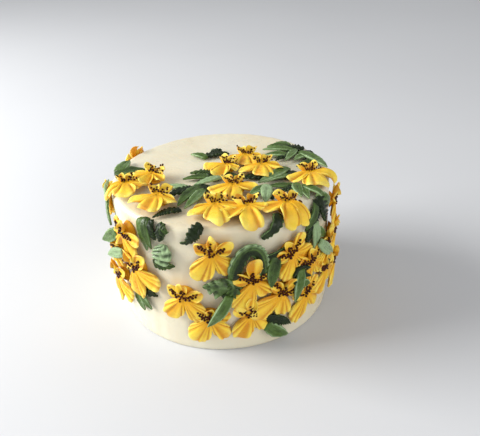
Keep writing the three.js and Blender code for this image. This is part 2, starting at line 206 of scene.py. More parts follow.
def turned_body(radii: Array, heights: Array, bottom: float, top: float) -> Skin:
    """Closes rings of vertices round an upright axis, lowest ring first.

    Args:
        radii: Distance from the axis, as rings by steps round the axis.
        heights: Height, in the same order.
        bottom: Height of the point on the axis that closes the lowest ring.
        top: Height of the point on the axis that closes the highest ring.

    Returns:
        The closed skin, its faces pointing out.
    """
    rings, sides = radii.shape
    angle = np.arange(sides) * 2 * np.pi / sides
    grid = np.stack([radii * np.cos(angle), radii * np.sin(angle), heights], axis=-1)
    index = np.arange(rings * sides).reshape(rings, sides)
    wrapped = np.concatenate([index, index[:, :1]], axis=1)
    low, high = np.full(sides, rings * sides), np.full(sides, rings * sides + 1)
    lowest, highest = wrapped[0], wrapped[-1]
    caps = [
        np.stack([low, lowest[1:], lowest[:-1]], axis=1),
        np.stack([high, highest[:-1], highest[1:]], axis=1),
    ]
    places = np.concatenate([grid.reshape(-1, 3), [[0, 0, bottom], [0, 0, top]]])
    return Skin(places, quads(wrapped)[:, ::-1], np.concatenate(caps))


def rounded_cube(steps: int) -> Skin:
    """A ball made of six square grids pushed out to a radius of one, corners merged.

    Args:
        steps: Faces along each side of a grid.

    Returns:
        The closed ball.
    """
    line = np.tan(np.linspace(-1, 1, steps + 1) * np.pi / 4)
    a, b = np.meshgrid(line, line, indexing="ij")
    one = np.ones_like(a)
    grids = []
    for axis in range(3):
        for side in (1, -1):
            grid = np.roll(np.stack([one * side, a, b * side], axis=-1), axis, axis=-1)
            grids.append(grid.reshape(-1, 3))
    points = np.concatenate(grids)
    points = points / np.linalg.norm(points, axis=1, keepdims=True)
    kept, index = np.unique(np.round(points, 5), axis=0, return_inverse=True)
    square = np.arange((steps + 1) ** 2).reshape(steps + 1, steps + 1)
    faces = np.concatenate([quads(square) + number * square.size for number in range(6)])
    return Skin(kept, index.reshape(-1)[faces])


# The colour sockets of a mixing node share their names with others, so they go by number.
MIX_FIRST, MIX_SECOND, MIX_RESULT = 6, 7, 2


class FinishGraph:
    """A material's node graph, with a short method for each kind of step."""

    def __init__(self, name: str) -> None:
        """Starts a material with one shader and its output."""
        self.material = bpy.data.materials.new(name)
        self.material.use_nodes = True
        self.tree = self.material.node_tree
        self.shader = self.tree.nodes["Principled BSDF"]

    def feed(self, socket: Socket, source: object) -> None:
        """Gives a socket what it works with.

        Args:
            socket: The socket.
            source: Another node's output, a value, or a colour as a tuple.
        """
        if isinstance(source, Socket):
            self.tree.links.new(source, socket)
        elif isinstance(source, tuple):
            socket.default_value = (*source, 1.0)
        else:
            socket.default_value = source

    def step(self, kind: str, output: str | int, inputs: dict, **settings: object) -> Socket:
        """Adds a node.

        Args:
            kind: Its type.
            output: Name or number of the output to use.
            inputs: What feeds its sockets, by their names or numbers.
            settings: Its properties, by name.

        Returns:
            The output.
        """
        made = self.tree.nodes.new(kind)
        for name, value in settings.items():
            setattr(made, name, value)
        for name, source in inputs.items():
            self.feed(made.inputs[name], source)
        return made.outputs[output]

    def value_of(self, name: str) -> Socket:
        """The number that the piece's vertices carry under a name."""
        return self.step("ShaderNodeAttribute", "Fac", {}, attribute_name=name)

    def noise(self, scale: float, detail: float = 3.0) -> Socket:
        """Soft noise in the piece's own coordinates, scale in features per metre."""
        place = self.step("ShaderNodeTexCoord", "Object", {})
        return self.step("ShaderNodeTexNoise", "Fac", {"Vector": place, "Scale": scale, "Detail": detail})

    def eased(self, source: object, low: float, high: float, end: float = 1.0) -> Socket:
        """A number eased from 0 where the source is low to end where it is high."""
        inputs = {"Value": source, "From Min": low, "From Max": high, "To Max": end}
        return self.step("ShaderNodeMapRange", "Result", inputs, interpolation_type="SMOOTHSTEP")

    def mixed(self, share: object, first: object, second: object) -> Socket:
        """The first colour turning into the second as the share goes from 0 to 1."""
        inputs = {"Factor": share, MIX_FIRST: first, MIX_SECOND: second}
        return self.step("ShaderNodeMix", MIX_RESULT, inputs, data_type="RGBA")

    def sum_of(self, first: object, second: object, weight: float) -> Socket:
        """The first number plus the second times a weight."""
        inputs = {0: second, 1: weight, 2: first}
        return self.step("ShaderNodeMath", "Value", inputs, operation="MULTIPLY_ADD")

    def bumped(self, height: object, depth: float) -> None:
        """Raises the surface by a height pattern, its full depth in metres."""
        normal = self.step("ShaderNodeBump", "Normal", {"Height": height, "Distance": depth})
        self.feed(self.shader.inputs["Normal"], normal)

    def finish(self, **settings: object) -> bpy.types.Material:
        """Feeds the shader's sockets by name, with _ for a space, and returns the material."""
        for name, source in settings.items():
            self.feed(self.shader.inputs[name.replace("_", " ")], source)
        return self.material


# Nearly all values of a noise lie between these.
NOISE_SPAN = (0.1, 0.9)


@dataclass(frozen=True)
class Layer:
    """A colour that covers what lies under it where a value is high.

    Attributes:
        colour: The colour.
        low: The value where it starts.
        high: The value where it is full.
        value: Name of the value that the piece's vertices carry, if it follows one.
        noise: Scale and detail of the noise that is added to the value or stands for it.
        weight: How much of that noise is added.
        cover: How much it covers at most, as a share.
    """

    colour: Colour
    low: float
    high: float
    value: str = ""
    noise: Noise | None = None
    weight: float = 1.0
    cover: float = 1.0

    def source(self, graph: FinishGraph) -> Socket:
        """The value, the noise or the sum of both, as the layer has them."""
        if not self.noise:
            return graph.value_of(self.value)
        noise = graph.noise(*self.noise)
        return graph.sum_of(graph.value_of(self.value), noise, self.weight) if self.value else noise


@dataclass(frozen=True)
class Finish:
    """A buttercream: its colours, its grain and how light meets it.

    Attributes:
        name: The material's name.
        base: Its lowest colour.
        layers: The colours over it, lowest first.
        grain: Scale and detail of the noise that raises its surface.
        depth: Depth of that grain, in metres.
        rough: Its greatest roughness.
        patch: Features per metre of the noise that its roughness follows.
        gloss: Its specular level.
        coarse: Scale and detail of a coarser noise in the grain, if it has one.
        swell: How much of the coarser noise is added.
        soft: Share of the light that goes into it.
        reach: How far that light goes, in metres.
        tint: How far red, green and blue light goes beside that reach.
    """

    name: str
    base: Colour
    layers: tuple[Layer, ...]
    grain: Noise
    depth: float
    rough: float
    patch: float
    gloss: float
    coarse: Noise | None = None
    swell: float = 1.5
    soft: float = 0.0
    reach: float = 0.001
    tint: Colour = (1.0, 1.0, 1.0)

    def material(self) -> bpy.types.Material:
        """Builds the material.

        Each layer's colour is mixed in by its eased value, the sum of the noises raises
        the surface, and one more noise sets the roughness.

        Returns:
            The material.
        """
        graph = FinishGraph(self.name)
        colour = self.base
        for layer in self.layers:
            share = graph.eased(layer.source(graph), layer.low, layer.high, layer.cover)
            colour = graph.mixed(share, colour, layer.colour)
        grain = graph.noise(*self.grain)
        if self.coarse:
            grain = graph.sum_of(grain, graph.noise(*self.coarse), self.swell)
        graph.bumped(grain, self.depth)
        return graph.finish(
            Base_Color=colour,
            Roughness=graph.eased(graph.noise(self.patch), *NOISE_SPAN, self.rough),
            Specular_IOR_Level=self.gloss,
            Subsurface_Weight=self.soft,
            Subsurface_Radius=Vector(self.tint),
            Subsurface_Scale=self.reach,
        )


# Smooth ivory buttercream, faintly mottled with warmer patches.
IVORY = Finish(
    "ivory_buttercream",
    base=linear(227, 222, 200),
    layers=(Layer(linear(224, 208, 173), 0.3, 0.9, noise=(18, 3)),),
    grain=(420, 4), depth=0.00012, coarse=(90, 2), swell=1.4,
    rough=0.95, patch=60, gloss=0.35, soft=0.12, reach=0.004, tint=(1.0, 0.7, 0.45),
)

# Piped yellow petals, with painted shade at the heart and in the grooves and a painted highlight on their
# rims.
YELLOW = Finish(
    "yellow_buttercream",
    # The base, deep orange at the hearts, is painted shade.
    base=linear(234, 172, 26),
    layers=(
        Layer(linear(250, 213, 68), 0.1, 0.75, "out"),
        # A painted highlight: paler yellow on the petals' rims and side edges.
        Layer(linear(254, 228, 112), 0.72, 1.0, "out", cover=0.8),
        # Painted shade: deeper orange in the grooves, uneven by noise, and over the wall flowers and the
        # hearts.
        Layer(linear(206, 128, 6), 0.35, 1.15, "groove", (240, 4), 0.35, cover=0.8),
    ),
    grain=(1500, 3), depth=0.00016, coarse=(420, 3),
    rough=0.85, patch=300, gloss=0.28, soft=0.18, reach=0.0025, tint=(1.0, 0.55, 0.1),
)

# Piped green, from near black to pale as each leaf's shade says, with painted shade down in the folds.
DARK_GREEN = linear(24, 38, 12)
GREEN = Finish(
    "green_buttercream",
    base=DARK_GREEN,
    layers=(
        Layer(linear(80, 106, 48), 0.3, 0.86, "shade", (170, 5), 0.65),
        Layer(linear(150, 176, 130), 0.84, 1.36, "shade", (170, 5), 0.65),
        # Painted shade: dark green where the groove value marks creases, ripple troughs and ribs.
        Layer(DARK_GREEN, 0.2, 0.95, "groove", cover=0.82),
    ),
    grain=(1400, 3), depth=0.00015, coarse=(380, 3),
    rough=0.68, patch=300, gloss=0.24, soft=0.1, reach=0.002, tint=(0.6, 1.0, 0.4),
)

# Dark brown dots with lighter patches and a soft shine.
BROWN = Finish(
    "dark_buttercream",
    base=linear(58, 18, 4),
    layers=(Layer(linear(98, 40, 10), 0.4, 0.8, noise=(500, 4)),),
    grain=(2200, 3), depth=0.0001, rough=0.6, patch=700, gloss=0.18,
)


def placed(name: str, data: bpy.types.ID) -> bpy.types.Object:
    """Puts an object with this data into the scene, at the origin."""
    made = bpy.data.objects.new(name, data)
    bpy.context.scene.collection.objects.link(made)
    return made


def made_piece(
    name: str, skin: Skin, material: bpy.types.Material, node: str | None = None
) -> bpy.types.Object:
    """Turns a skin in millimetres into a smooth-shaded piece that rides on the cake.

    Args:
        name: The piece's name.
        skin: Its closed surface, in its final place.
        material: Its finish.
        node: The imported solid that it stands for, if any.

    Returns:
        The new object, at the origin.
    """
    mesh = bpy.data.meshes.new(name)
    faces = skin.quads.tolist() + skin.triangles.tolist()
    mesh.from_pydata((skin.places * METRES).tolist(), [], faces)
    mesh.polygons.foreach_set("use_smooth", np.ones(len(mesh.polygons), bool))
    for value, numbers in skin.values.items():
        mesh.attributes.new(value, "FLOAT", "POINT").data.foreach_set("value", numbers.astype(np.float32))
    mesh.materials.append(material)
    mesh.update()
    piece = placed(name, mesh)
    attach(piece, ROOT)
    if node:
        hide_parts(node)
    LOG.info("%s: %d vertices, %d faces", name, len(mesh.vertices), len(mesh.polygons))
    return piece


# How far in and how high the middle of the foot's rounding lies, in roundings.
FOOT_CORNER = (0.3, 0.3)


@dataclass(frozen=True)
class Icing:
    """The iced cake: a 6-inch cake with about 3 mm of icing, 4 inches tall.

    Attributes:
        radius: Radius of the wall.
        height: Height of the flat top.
        rim: Rounding of the upper edge.
        foot: Rounding of the lower edge.
        sides: Steps round the cake.
        rows: Rings of vertices on the wall, on the rim and on the top.
        mark: How deep the scraper's marks are.
        mark_counts: How many waves go round the cake in each set of marks.
        mark_strengths: Between which strengths the sets are drawn.
        mark_drift: Length over the icing in which a set drifts by a radian at most.
        mark_seed: What the sets are drawn from.
        faint: Strength of the marks on the top beside those on the wall.
        rings: Strength, length for each radian and number of arms of each spiral on the top.
        calm: Radius of the middle of the top, towards which the unevenness fades.
    """

    radius: float = 79.0
    height: float = 98.75
    rim: float = 4.0
    foot: float = 1.5
    sides: int = 360
    rows: tuple[int, int, int] = (60, 12, 40)
    mark: float = 0.085
    mark_counts: tuple[int, ...] = (2, 3, 5, 9, 14, 23, 37, 52)
    mark_strengths: tuple[float, float] = (0.4, 1.0)
    mark_drift: float = 60.0
    mark_seed: int = 11
    faint: float = 0.12
    rings: tuple[tuple[float, float, int], ...] = ((0.8, 5.5, 1), (0.48, 2.3, 2))
    calm: float = 20.0

    @property
    def flat(self) -> float:
        """Radius of the flat part of the top."""
        return self.radius - self.rim

    @property
    def wall_top(self) -> float:
        """Height at which the wall starts to turn over."""
        return self.height - self.rim

    @property
    def turned(self) -> float:
        """Length over the icing from the middle of the top to where the wall is upright."""
        return self.flat + self.rim * QUARTER_TURN

    def over(self, arc: Array, height: Array) -> tuple[Array, Array]:
        """Where a point above the icing lies, in the cake's half section.

        It goes straight out over the top, then round the rim as an arc whose radius
        is the rim's plus its height, then straight down the wall.

        Args:
            arc: Length over the icing from the middle of the top.
            height: Height above the icing.

        Returns:
            Its distance from the cake's axis and its level.
        """
        turn = np.clip((arc - self.flat) / self.rim, 0, QUARTER_TURN)
        reach = self.rim + height
        down = np.maximum(arc - self.turned, 0)
        radius = np.minimum(arc, self.flat) + reach * np.sin(turn)
        return radius, self.wall_top + reach * np.cos(turn) - down

    def lay(self, face: Face, flat: Array) -> Array:
        """Lays flat (u, v, height) points on the cake's top or round its wall.

        Args:
            face: The side that the points belong to.
            flat: Their flat places, as rows of three.

        Returns:
            Their places on the cake, as rows of three.
        """
        u, v, height = flat.T
        if face is TOP:
            bearing, arc = np.arctan2(u, -v), np.hypot(u, v)
        else:
            bearing, arc = u / self.radius, self.turned + self.wall_top - v
        radius, level = self.over(arc, height)
        return np.stack([radius * np.sin(bearing), -radius * np.cos(bearing), level], axis=1)

    def flat_place(self, face: Face, at: Place) -> Array:
        """A place on a face, (x, y) or (degrees, height), as flat millimetres."""
        return np.array(at if face is TOP else (np.radians(at[0]) * self.radius, at[1]), float)

    def relief(self, arc: Array, bearing: Array) -> Array:
        """The icing's unevenness: upright scraper marks and faint rings of the palette knife.

        It is a sum of waves round the cake with seeded strengths, which drift along
        the arc, plus spirals on the top, and it fades out at the middle of the top.

        Args:
            arc: Length over the icing from the middle of the top, one row for each ring.
            bearing: Angle round the cake, one for each step.

        Returns:
            The height over the even icing, as rings by steps.
        """
        draw = np.random.default_rng(self.mark_seed)
        waves = np.zeros(np.broadcast(arc, bearing).shape)
        for count in self.mark_counts:
            phase, drift = draw.uniform(0, 2 * np.pi), draw.uniform(-1, 1)
            turn = count * bearing + phase + drift * arc / self.mark_drift
            waves += draw.uniform(*self.mark_strengths) * np.sin(turn)
        on_wall = smooth_step(arc, self.flat - 2 * self.rim, self.turned)
        marks = waves * (self.faint + (1 - self.faint) * on_wall)
        rings = sum(share * np.sin(arc / pace + arms * bearing) for share, pace, arms in self.rings)
        return self.mark * (marks + rings * (1 - on_wall)) * smooth_step(arc, 0, self.calm)

    def build(self, material: bpy.types.Material) -> bpy.types.Object:
        """Builds the iced cake as rings from its foot up over the rim to its middle.

        Args:
            material: Its finish.

        Returns:
            The piece.
        """
        wall_rows, rim_rows, top_rows = self.rows
        down = self.turned + self.wall_top - self.foot
        wall = np.linspace(down, self.turned, wall_rows)
        rim = np.linspace(self.turned, self.flat, rim_rows)[1:]
        top = np.linspace(self.flat, 0, top_rows)[1:-1]
        arc = np.concatenate([wall, rim, top])[:, None]
        bearing = np.arange(self.sides) * 2 * np.pi / self.sides
        radii, heights = self.over(arc, self.relief(arc, bearing))
        inset = np.array([[1.0, 0.0], FOOT_CORNER]) * self.foot
        around = np.ones(self.sides)
        radii = np.concatenate([(self.radius - inset[:, :1]) * around, radii])
        heights = np.concatenate([inset[:, 1:] * around, heights])
        skin = turned_body(radii, heights, 0.0, self.height)
        return made_piece("ivory_icing", skin, material, "iced_cake")


ICING = Icing()


@dataclass(frozen=True)
class Petal:
    """One petal of a full-size flower, its angles in degrees from the lower side.

    Attributes:
        direction: Where it points.
        spread: Half of the angle that it takes.
        reach: Its length from the flower's middle.
        tip: Height of its rim over the icing.
        arch: How far its middle rises above a straight slope.
        cup: How far its sides rise (or fall, below 0) beside its middle.
        folds: How many ridges run along it.
        depth: How deep the grooves between them are.
        crisp: Power of its folds' profile, below 1 for narrow grooves and above for soft ones.
        over: How far it lies above the petals beside it.
        curl: How far one of its sides curls up.
    """

    direction: float
    spread: float
    reach: float
    tip: float
    arch: float
    cup: float
    folds: float
    depth: float
    crisp: float
    over: float
    curl: float = 0.0


@dataclass(frozen=True)
class FlowerStyle:
    """What the flowers on one side of the cake share.

    Attributes:
        petals: Their petals, in the order of a flower's lengths.
        strokes: Their strokes of dots, each from one place to another with so many dots.
        dot: Width of a dot.
        widening: How much wider a petal's angle is at the heart, as a share.
        lopsided: How much longer one side of a petal is, as a share.
        scallop: How far a groove cuts into the rim, as a share of the petal's length.
        ruffle: Height of the rim's slow wave.
        tone: Painted shade over all its petals, as an addition to the groove value.
    """

    petals: tuple[Petal, ...]
    strokes: tuple[tuple[Place, Place, int], ...]
    dot: float
    widening: float
    lopsided: float
    scallop: float
    ruffle: float
    tone: float = 0.0


# On the top three petals lie in front and two stand up behind them.
TOP_PETALS = (
    Petal(-72, 31, 20, tip=3.6, arch=0.9, cup=0.3, folds=1.8, depth=1.3, crisp=1.1, over=-0.3, curl=1.9),
    Petal(-8, 39, 21, tip=3.3, arch=1.3, cup=-0.1, folds=2.4, depth=1.7, crisp=1, over=0.6, curl=1.9),
    Petal(62, 33, 16, tip=3.7, arch=0.9, cup=0.3, folds=1.8, depth=1.3, crisp=1.1, over=0, curl=1.9),
    Petal(142, 34, 11.2, tip=6.9, arch=-0.8, cup=0.4, folds=1.1, depth=0.4, crisp=1.3, over=0.3),
    Petal(216, 35, 11.6, tip=7.0, arch=-0.8, cup=0.4, folds=1.1, depth=0.4, crisp=1.3, over=0.5),
)

# On the wall two big petals hang, one stands at each side and a narrow one above.
WALL_PETALS = (
    Petal(-30, 34, 24, tip=3.4, arch=1.2, cup=-0.9, folds=4.2, depth=1.15, crisp=0.85, over=0.6),
    Petal(34, 34, 21, tip=3.4, arch=1.2, cup=-0.9, folds=4, depth=1.15, crisp=0.85, over=0),
    Petal(112, 35, 15, tip=4.4, arch=0.2, cup=1.3, folds=2.2, depth=0.6, crisp=1, over=-0.1),
    Petal(177, 27, 13.5, tip=6.2, arch=-0.5, cup=1.2, folds=1.3, depth=0.5, crisp=1.2, over=0.6),
    Petal(239, 35, 13, tip=4.4, arch=0.2, cup=1.3, folds=2.2, depth=0.6, crisp=1, over=0.2),
)

TOP_STROKES = (
    ((-5.8, 7.4), (-2.4, 2.2), 6), ((-2.6, 6.8), (-0.8, 2.6), 4),
    ((5.0, 7.4), (1.8, 2.4), 6), ((2.4, 0.9), (7.4, 1.7), 5),
)
WALL_STROKES = (
    ((-7.8, 4.8), (-4.2, 1.8), 7), ((-3.6, 1.0), (-1.6, -1.4), 3),
    ((0.1, 6.4), (-1.0, 0.2), 7), ((1.2, -0.8), (7.6, 3.4), 9),
)

FLOWER_STYLES = {
    TOP: FlowerStyle(
        TOP_PETALS, TOP_STROKES,
        dot=1.45, widening=0.5, lopsided=0.11, scallop=0.07, ruffle=1.05,
    ),
    WALL: FlowerStyle(
        WALL_PETALS, WALL_STROKES,
        dot=1.65, widening=0.15, lopsided=0.07, scallop=0.045, ruffle=0.8, tone=0.2,
    ),
}

# The heart: a mound whose rings stand at these shares of its height.
HEART_HEIGHT = 4.4
HEART_RADIUS = 7.0
HEART_TAPER = 1.5
HEART_RISE = 0.25
HEART_FOOT = 0.2
HEART_LEVELS = (0.05, 0.97)
HEART_RINGS = 9
HEART_SIDES = 28
# Painted shade over the whole heart, given as its groove value.
HEART_SHADING = 0.5

# A petal: its grid, its outline and its thickness.
PETAL_ROWS = 24
PETAL_COLUMNS = 33
PETAL_START = 0.9
PETAL_ROUNDNESS = 0.95
PETAL_FULLNESS = 0.33
PETAL_THICK = 2.3
RIM_THINNING = 0.62
SIDE_ROUNDING = 8
RIM_ROUNDING = 10
BORDER_POWER = 6

# Where along a petal its folds, their painted shade and its border's painted highlight start and are
# full.
FOLD_SPAN = (0.1, 0.55)
GROOVE_SHADE_SPAN = (0.02, 0.5)
BORDER_SPAN = (0.15, 0.6)

# The raised lip near a petal's rim, its place and width as shares of the petal's length.
LIP_HEIGHT = 0.55
LIP_PLACE = 0.93
LIP_WIDTH = 0.07

# How far petals differ: as shares, but the turn in degrees.
LENGTH_VARIETY = 0.07
TURN_VARIETY = 3.0
COUNT_VARIETY = 0.22
SHIFT_VARIETY = 0.5
DEPTH_VARIETY = 0.3

# Slow sines across a petal: radians of turn from its middle to its side, and of varied start.
BEND_SWING, BEND_START = 1.7 * np.pi, 4
SIDE_SWING, SIDE_START = 1.8, 6
WAVE_SWING, WAVE_START = 4.6, 5
BEND_SHARE = 0.16

# Strides that make a sine jump about, so that it stands for a drawn number.
FLOWER_STRIDE = 12.9898
QUIRK_STRIDE = 78.233

# The dots: their draw, how they are pushed apart, and how they are drawn in and sized.
DOT_SEED = 1000
DOT_STRIDES = (7, 13)
DOT_JITTER = 0.8
DOT_SCATTER = 0.5
DOT_PUSHES = 8
DOT_APART = 1.75
DOT_FAR = 9.0
DOT_PULLS = 12
DOT_PULL = 0.9
DOT_LOWEST = 3.0
DOT_RISE = 0.3
DOT_SIZES = (0.82, 1.15)
DOT_STRETCHES = (0.85, 1.25)
DOT_BALL = rounded_cube(2)


@dataclass(frozen=True)
class Flower:
    """A piped flower of five petals with dark dots over its middle.

    Attributes:
        face: The side of the cake that it is on.
        at: Its middle, as (x, y) on the top or (degrees, height) on the wall.
        turn: How far it is turned to the left, in degrees.
        size: Its size beside a full-size flower.
        lift: How far it stands off the icing.
        lengths: How long each petal is beside the usual one.
    """

    face: Face
    at: Place
    turn: float
    size: float = 1.0
    lift: float = 0.0
    lengths: tuple[float, ...] = (1, 1, 1, 1, 1)

    @property
    def style(self) -> FlowerStyle:
        """What it shares with the other flowers on its side of the cake."""
        return FLOWER_STYLES[self.face]

    def wobble(self, index: int, quirk: Quirk) -> float:
        """A petal's repeatable offset from -1 to 1, which differs from flower to flower."""
        seed = self.at[0] + 2 * self.at[1]
        return float(np.sin(seed * FLOWER_STRIDE + (index + quirk.value) * QUIRK_STRIDE))

    def folds(self, index: int, across: Array) -> Array:
        """Ridges across a petal.

        They are a power of a rectified cosine, whose grooves lie at uneven places
        because the position across the petal is bent by a slow sine first.

        Args:
            index: The petal's number.
            across: The way across it, from -1 to 1.

        Returns:
            1 on a ridge and 0 in a groove.
        """
        petal = self.style.petals[index]
        count = petal.folds * (1 + COUNT_VARIETY * self.wobble(index, Quirk.FOLD_COUNT))
        swing = BEND_SWING * across + BEND_START * self.wobble(index, Quirk.FOLD_BEND)
        bent = across + BEND_SHARE * np.sin(swing)
        turns = count * (bent + SHIFT_VARIETY * self.wobble(index, Quirk.FOLD_SHIFT)) / 2
        return np.abs(np.cos(np.pi * turns)) ** petal.crisp

    def reach(self, index: int, across: Array) -> Array:
        """A petal's length along its rays.

        It is full in the middle and short at its sides, by a power of a cosine, a
        little longer to one side, by a slow sine, and scalloped by its folds.

        Args:
            index: The petal's number.
            across: The way across it, from -1 to 1.

        Returns:
            The length in millimetres.
        """
        varied = 1 + LENGTH_VARIETY * self.wobble(index, Quirk.LENGTH)
        length = self.style.petals[index].reach * self.size * self.lengths[index] * varied
        outline = np.cos(PETAL_ROUNDNESS * across * QUARTER_TURN) ** PETAL_FULLNESS
        aside = np.sin(SIDE_SWING * across + SIDE_START * self.wobble(index, Quirk.SIDE))
        scallops = 1 - self.style.scallop * (1 - self.folds(index, across))
        return length * outline * (1 + self.style.lopsided * aside) * scallops

    def spread(self, index: int, out: Array) -> Array:
        """Half of a petal's angle in radians, which is widest at the flower's middle."""
        return np.radians(self.style.petals[index].spread) * (1 + self.style.widening * (1 - out))

    def direction(self, index: int) -> float:
        """Where a petal points, in radians from the lower side."""
        varied = TURN_VARIETY * self.wobble(index, Quirk.TURN)
        return float(np.radians(self.style.petals[index].direction + varied))

    def height(self, index: int, across: Array, out: Array) -> Array:
        """Height of a petal's upper face.

        It is a straight slope from the heart to the rim, plus an arch, plus a cup that
        grows with the square of the way across, plus ridges, a wavy rim and one side
        that curls up, which grow towards the rim, and a lip near it.

        Args:
            index: The petal's number.
            across: The way across it, from -1 to 1.
            out: The way out along it, from 0 to 1.

        Returns:
            The height in millimetres, as rows out by columns across.
        """
        petal = self.style.petals[index]
        slope = HEART_HEIGHT + (petal.tip + petal.over - HEART_HEIGHT) * out
        body = slope + petal.arch * np.sin(np.pi * out) + petal.cup * out * across**2
        deep = petal.depth * (1 + DEPTH_VARIETY * self.wobble(index, Quirk.DEPTH))
        ridges = deep * (self.folds(index, across) - 1) * smooth_step(out, *FOLD_SPAN)
        swing = WAVE_SWING * across + WAVE_START * self.wobble(index, Quirk.WAVE)
        wave = self.style.ruffle * np.sin(swing) * out**2
        aside = np.clip(across * np.sign(self.wobble(index, Quirk.CURL)), 0, 1)
        curl = petal.curl * out**2 * aside**2
        return body + ridges + wave + curl + LIP_HEIGHT * ridge(out, LIP_PLACE, LIP_WIDTH)

    def petal(self, index: int) -> Skin:
        """One petal as a thin body, thinner towards its rim and rounded off at its border.

        Its thickness is the root of one less a high power of the way across and out.

        Args:
            index: The petal's number.

        Returns:
            The petal round the flower's middle, with its groove and out values, which carry painted shade
            and a painted highlight.
        """
        across = crowded(-1, 1, PETAL_COLUMNS)[None, :]
        out = crowded(0, 1, PETAL_ROWS)[:, None]
        start = PETAL_START * self.size
        radius = start + (self.reach(index, across) - start) * out
        angle = self.direction(index) + self.spread(index, out) * across
        half = PETAL_THICK / 2 * (1 - RIM_THINNING * out**2)
        thick = half * np.sqrt(1 - across**SIDE_ROUNDING) * np.sqrt(1 - out**RIM_ROUNDING)
        middle = self.height(index, across, out) - half
        u, v = np.sin(angle) * radius, -np.cos(angle) * radius
        upper = np.stack([u, v, middle + thick], axis=-1)
        lower = np.stack([u, v, middle - thick], axis=-1)
        # Painted shade in the grooves, and a painted highlight along the rim and the side edges.
        grooves = (1 - self.folds(index, across)) * smooth_step(out, *GROOVE_SHADE_SPAN)
        border = np.maximum(out, across**BORDER_POWER * smooth_step(out, *BORDER_SPAN))
        return thin_body(upper, lower, {"groove": grooves + self.style.tone, "out": border})

    def heart(self) -> Skin:
        """The low mound that carries the petals, narrower by a power of its height.

        Returns:
            The mound round the flower's middle, with the same values as the petals: painted shade all
            over.
        """
        rise = np.linspace(*HEART_LEVELS, HEART_RINGS)[:, None] * np.ones(HEART_SIDES)
        lowest, highest = HEART_FOOT - self.lift, HEART_HEIGHT + HEART_RISE
        radii = HEART_RADIUS * self.size * (1 - rise**HEART_TAPER)
        skin = turned_body(radii, lowest + (highest - lowest) * rise, lowest, highest)
        none = np.zeros(len(skin.places))
        return replace(skin, values={"groove": none + HEART_SHADING, "out": none})

    def surface(self, u: Array, v: Array) -> Array:
        """Height of the flower's upper face over flat points round its middle.

        The mound's height is a power of one less the way out, and beside the mound the
        icing shows, which lies as far below as the flower is lifted.

        Args:
            u: The points' distance to the right of the middle.
            v: Their distance above it.

        Returns:
            The height at each point.
        """
        radius, angle = np.hypot(u, v), np.arctan2(u, -v)
        inward = np.clip(1 - radius / (HEART_RADIUS * self.size), 0, 1)
        highest = (HEART_HEIGHT + HEART_RISE + self.lift) * inward ** (1 / HEART_TAPER) - self.lift
        for index, petal in enumerate(self.style.petals):
            apart = np.angle(np.exp(1j * (angle - self.direction(index))))
            half = self.spread(index, np.clip(radius / (petal.reach * self.size), 0, 1))
            across = np.clip(apart / half, -1, 1)
            out = radius / self.reach(index, across)
            inside = (np.abs(apart) < half) & (out < 1)
            top = self.height(index, across, np.minimum(out, 1))
            highest = np.where(inside, np.maximum(highest, top), highest)
        return highest

    def spots(self, draw: np.random.Generator) -> Array:
        """Where the dots lie: on loose strokes over the flower's middle, like a W.

        Dots that would touch are pushed apart, and those beside a petal are drawn
        in until they lie on one.

        Args:
            draw: What the strokes' places are drawn from.

        Returns:
            The dots' u and v, as rows of two.
        """
        strokes = []
        for start, end, count in self.style.strokes:
            ends = np.array([start, end]) + draw.uniform(-DOT_JITTER, DOT_JITTER, (2, 2))
            share = np.linspace(0, 1, count)[:, None]
            line = ends[0] + share * (ends[1] - ends[0])
            strokes.append(line + draw.normal(0, DOT_SCATTER, (count, 2)))
        spots = np.concatenate(strokes) * self.size
        for _ in range(DOT_PUSHES):
            gap = spots[:, None] - spots[None]
            far = np.hypot(gap[..., 0], gap[..., 1]) + np.eye(len(spots)) * DOT_FAR
            push = np.clip(DOT_APART - far, 0, None)[..., None] * gap / far[..., None]
            spots = spots + 0.5 * push.sum(axis=1)
        for _ in range(DOT_PULLS):
            beside = self.surface(spots[:, 0], spots[:, 1]) < DOT_LOWEST
            spots = np.where(beside[:, None], DOT_PULL * spots, spots)
        return spots

    def dots(self) -> Skin:
        """The dark dots: rounded cubes, each stretched a little and half sunk.

        Returns:
            All dots round the flower's middle.
        """
        jump = self.at[0] * DOT_STRIDES[0] + self.at[1] * DOT_STRIDES[1]
        draw = np.random.default_rng(int(DOT_SEED + abs(jump)))
        spots = self.spots(draw)
        count, corners = len(spots), len(DOT_BALL.places)
        level = self.surface(spots[:, 0], spots[:, 1]) + DOT_RISE
        size = self.style.dot / 2 * draw.uniform(*DOT_SIZES, (count, 1))
        stretch = draw.uniform(*DOT_STRETCHES, (count, 3)) * size
        places = np.column_stack([spots, level])[:, None] + DOT_BALL.places * stretch[:, None]
        faces = DOT_BALL.quads + corners * np.arange(count)[:, None, None]
        return Skin(places.reshape(-1, 3), faces.reshape(-1, 4))

    def laid(self, skin: Skin) -> Skin:
        """Turns a skin round the flower's middle, moves it to its place and lays it down.

        Args:
            skin: A skin round the flower's middle.

        Returns:
            The same skin on the cake.
        """
        turn = np.radians(self.turn)
        turned = np.array([[np.cos(turn), -np.sin(turn)], [np.sin(turn), np.cos(turn)]])
        flat = skin.places[:, :2] @ turned.T + ICING.flat_place(self.face, self.at)
        lifted = np.column_stack([flat, skin.places[:, 2] + self.lift])
        return replace(skin, places=ICING.lay(self.face, lifted))

    def body(self) -> Skin:
        """The flower's petals and heart, laid on the cake."""
        petals = [self.petal(index) for index in range(len(self.style.petals))]
        return self.laid(joined([self.heart(), *petals]))


@dataclass(frozen=True)
class Cluster:
    """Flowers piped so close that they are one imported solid.

    Attributes:
        node: The solid's name.
        flowers: The flowers, lowest first.
    """

    node: str
    flowers: tuple[Flower, ...]

    def build(self, material: bpy.types.Material) -> bpy.types.Object:
        """Builds the cluster's petals as one piece in the place of its solid."""
        skin = joined([flower.body() for flower in self.flowers])
        return made_piece(f"petals_{self.node}", skin, material, self.node)


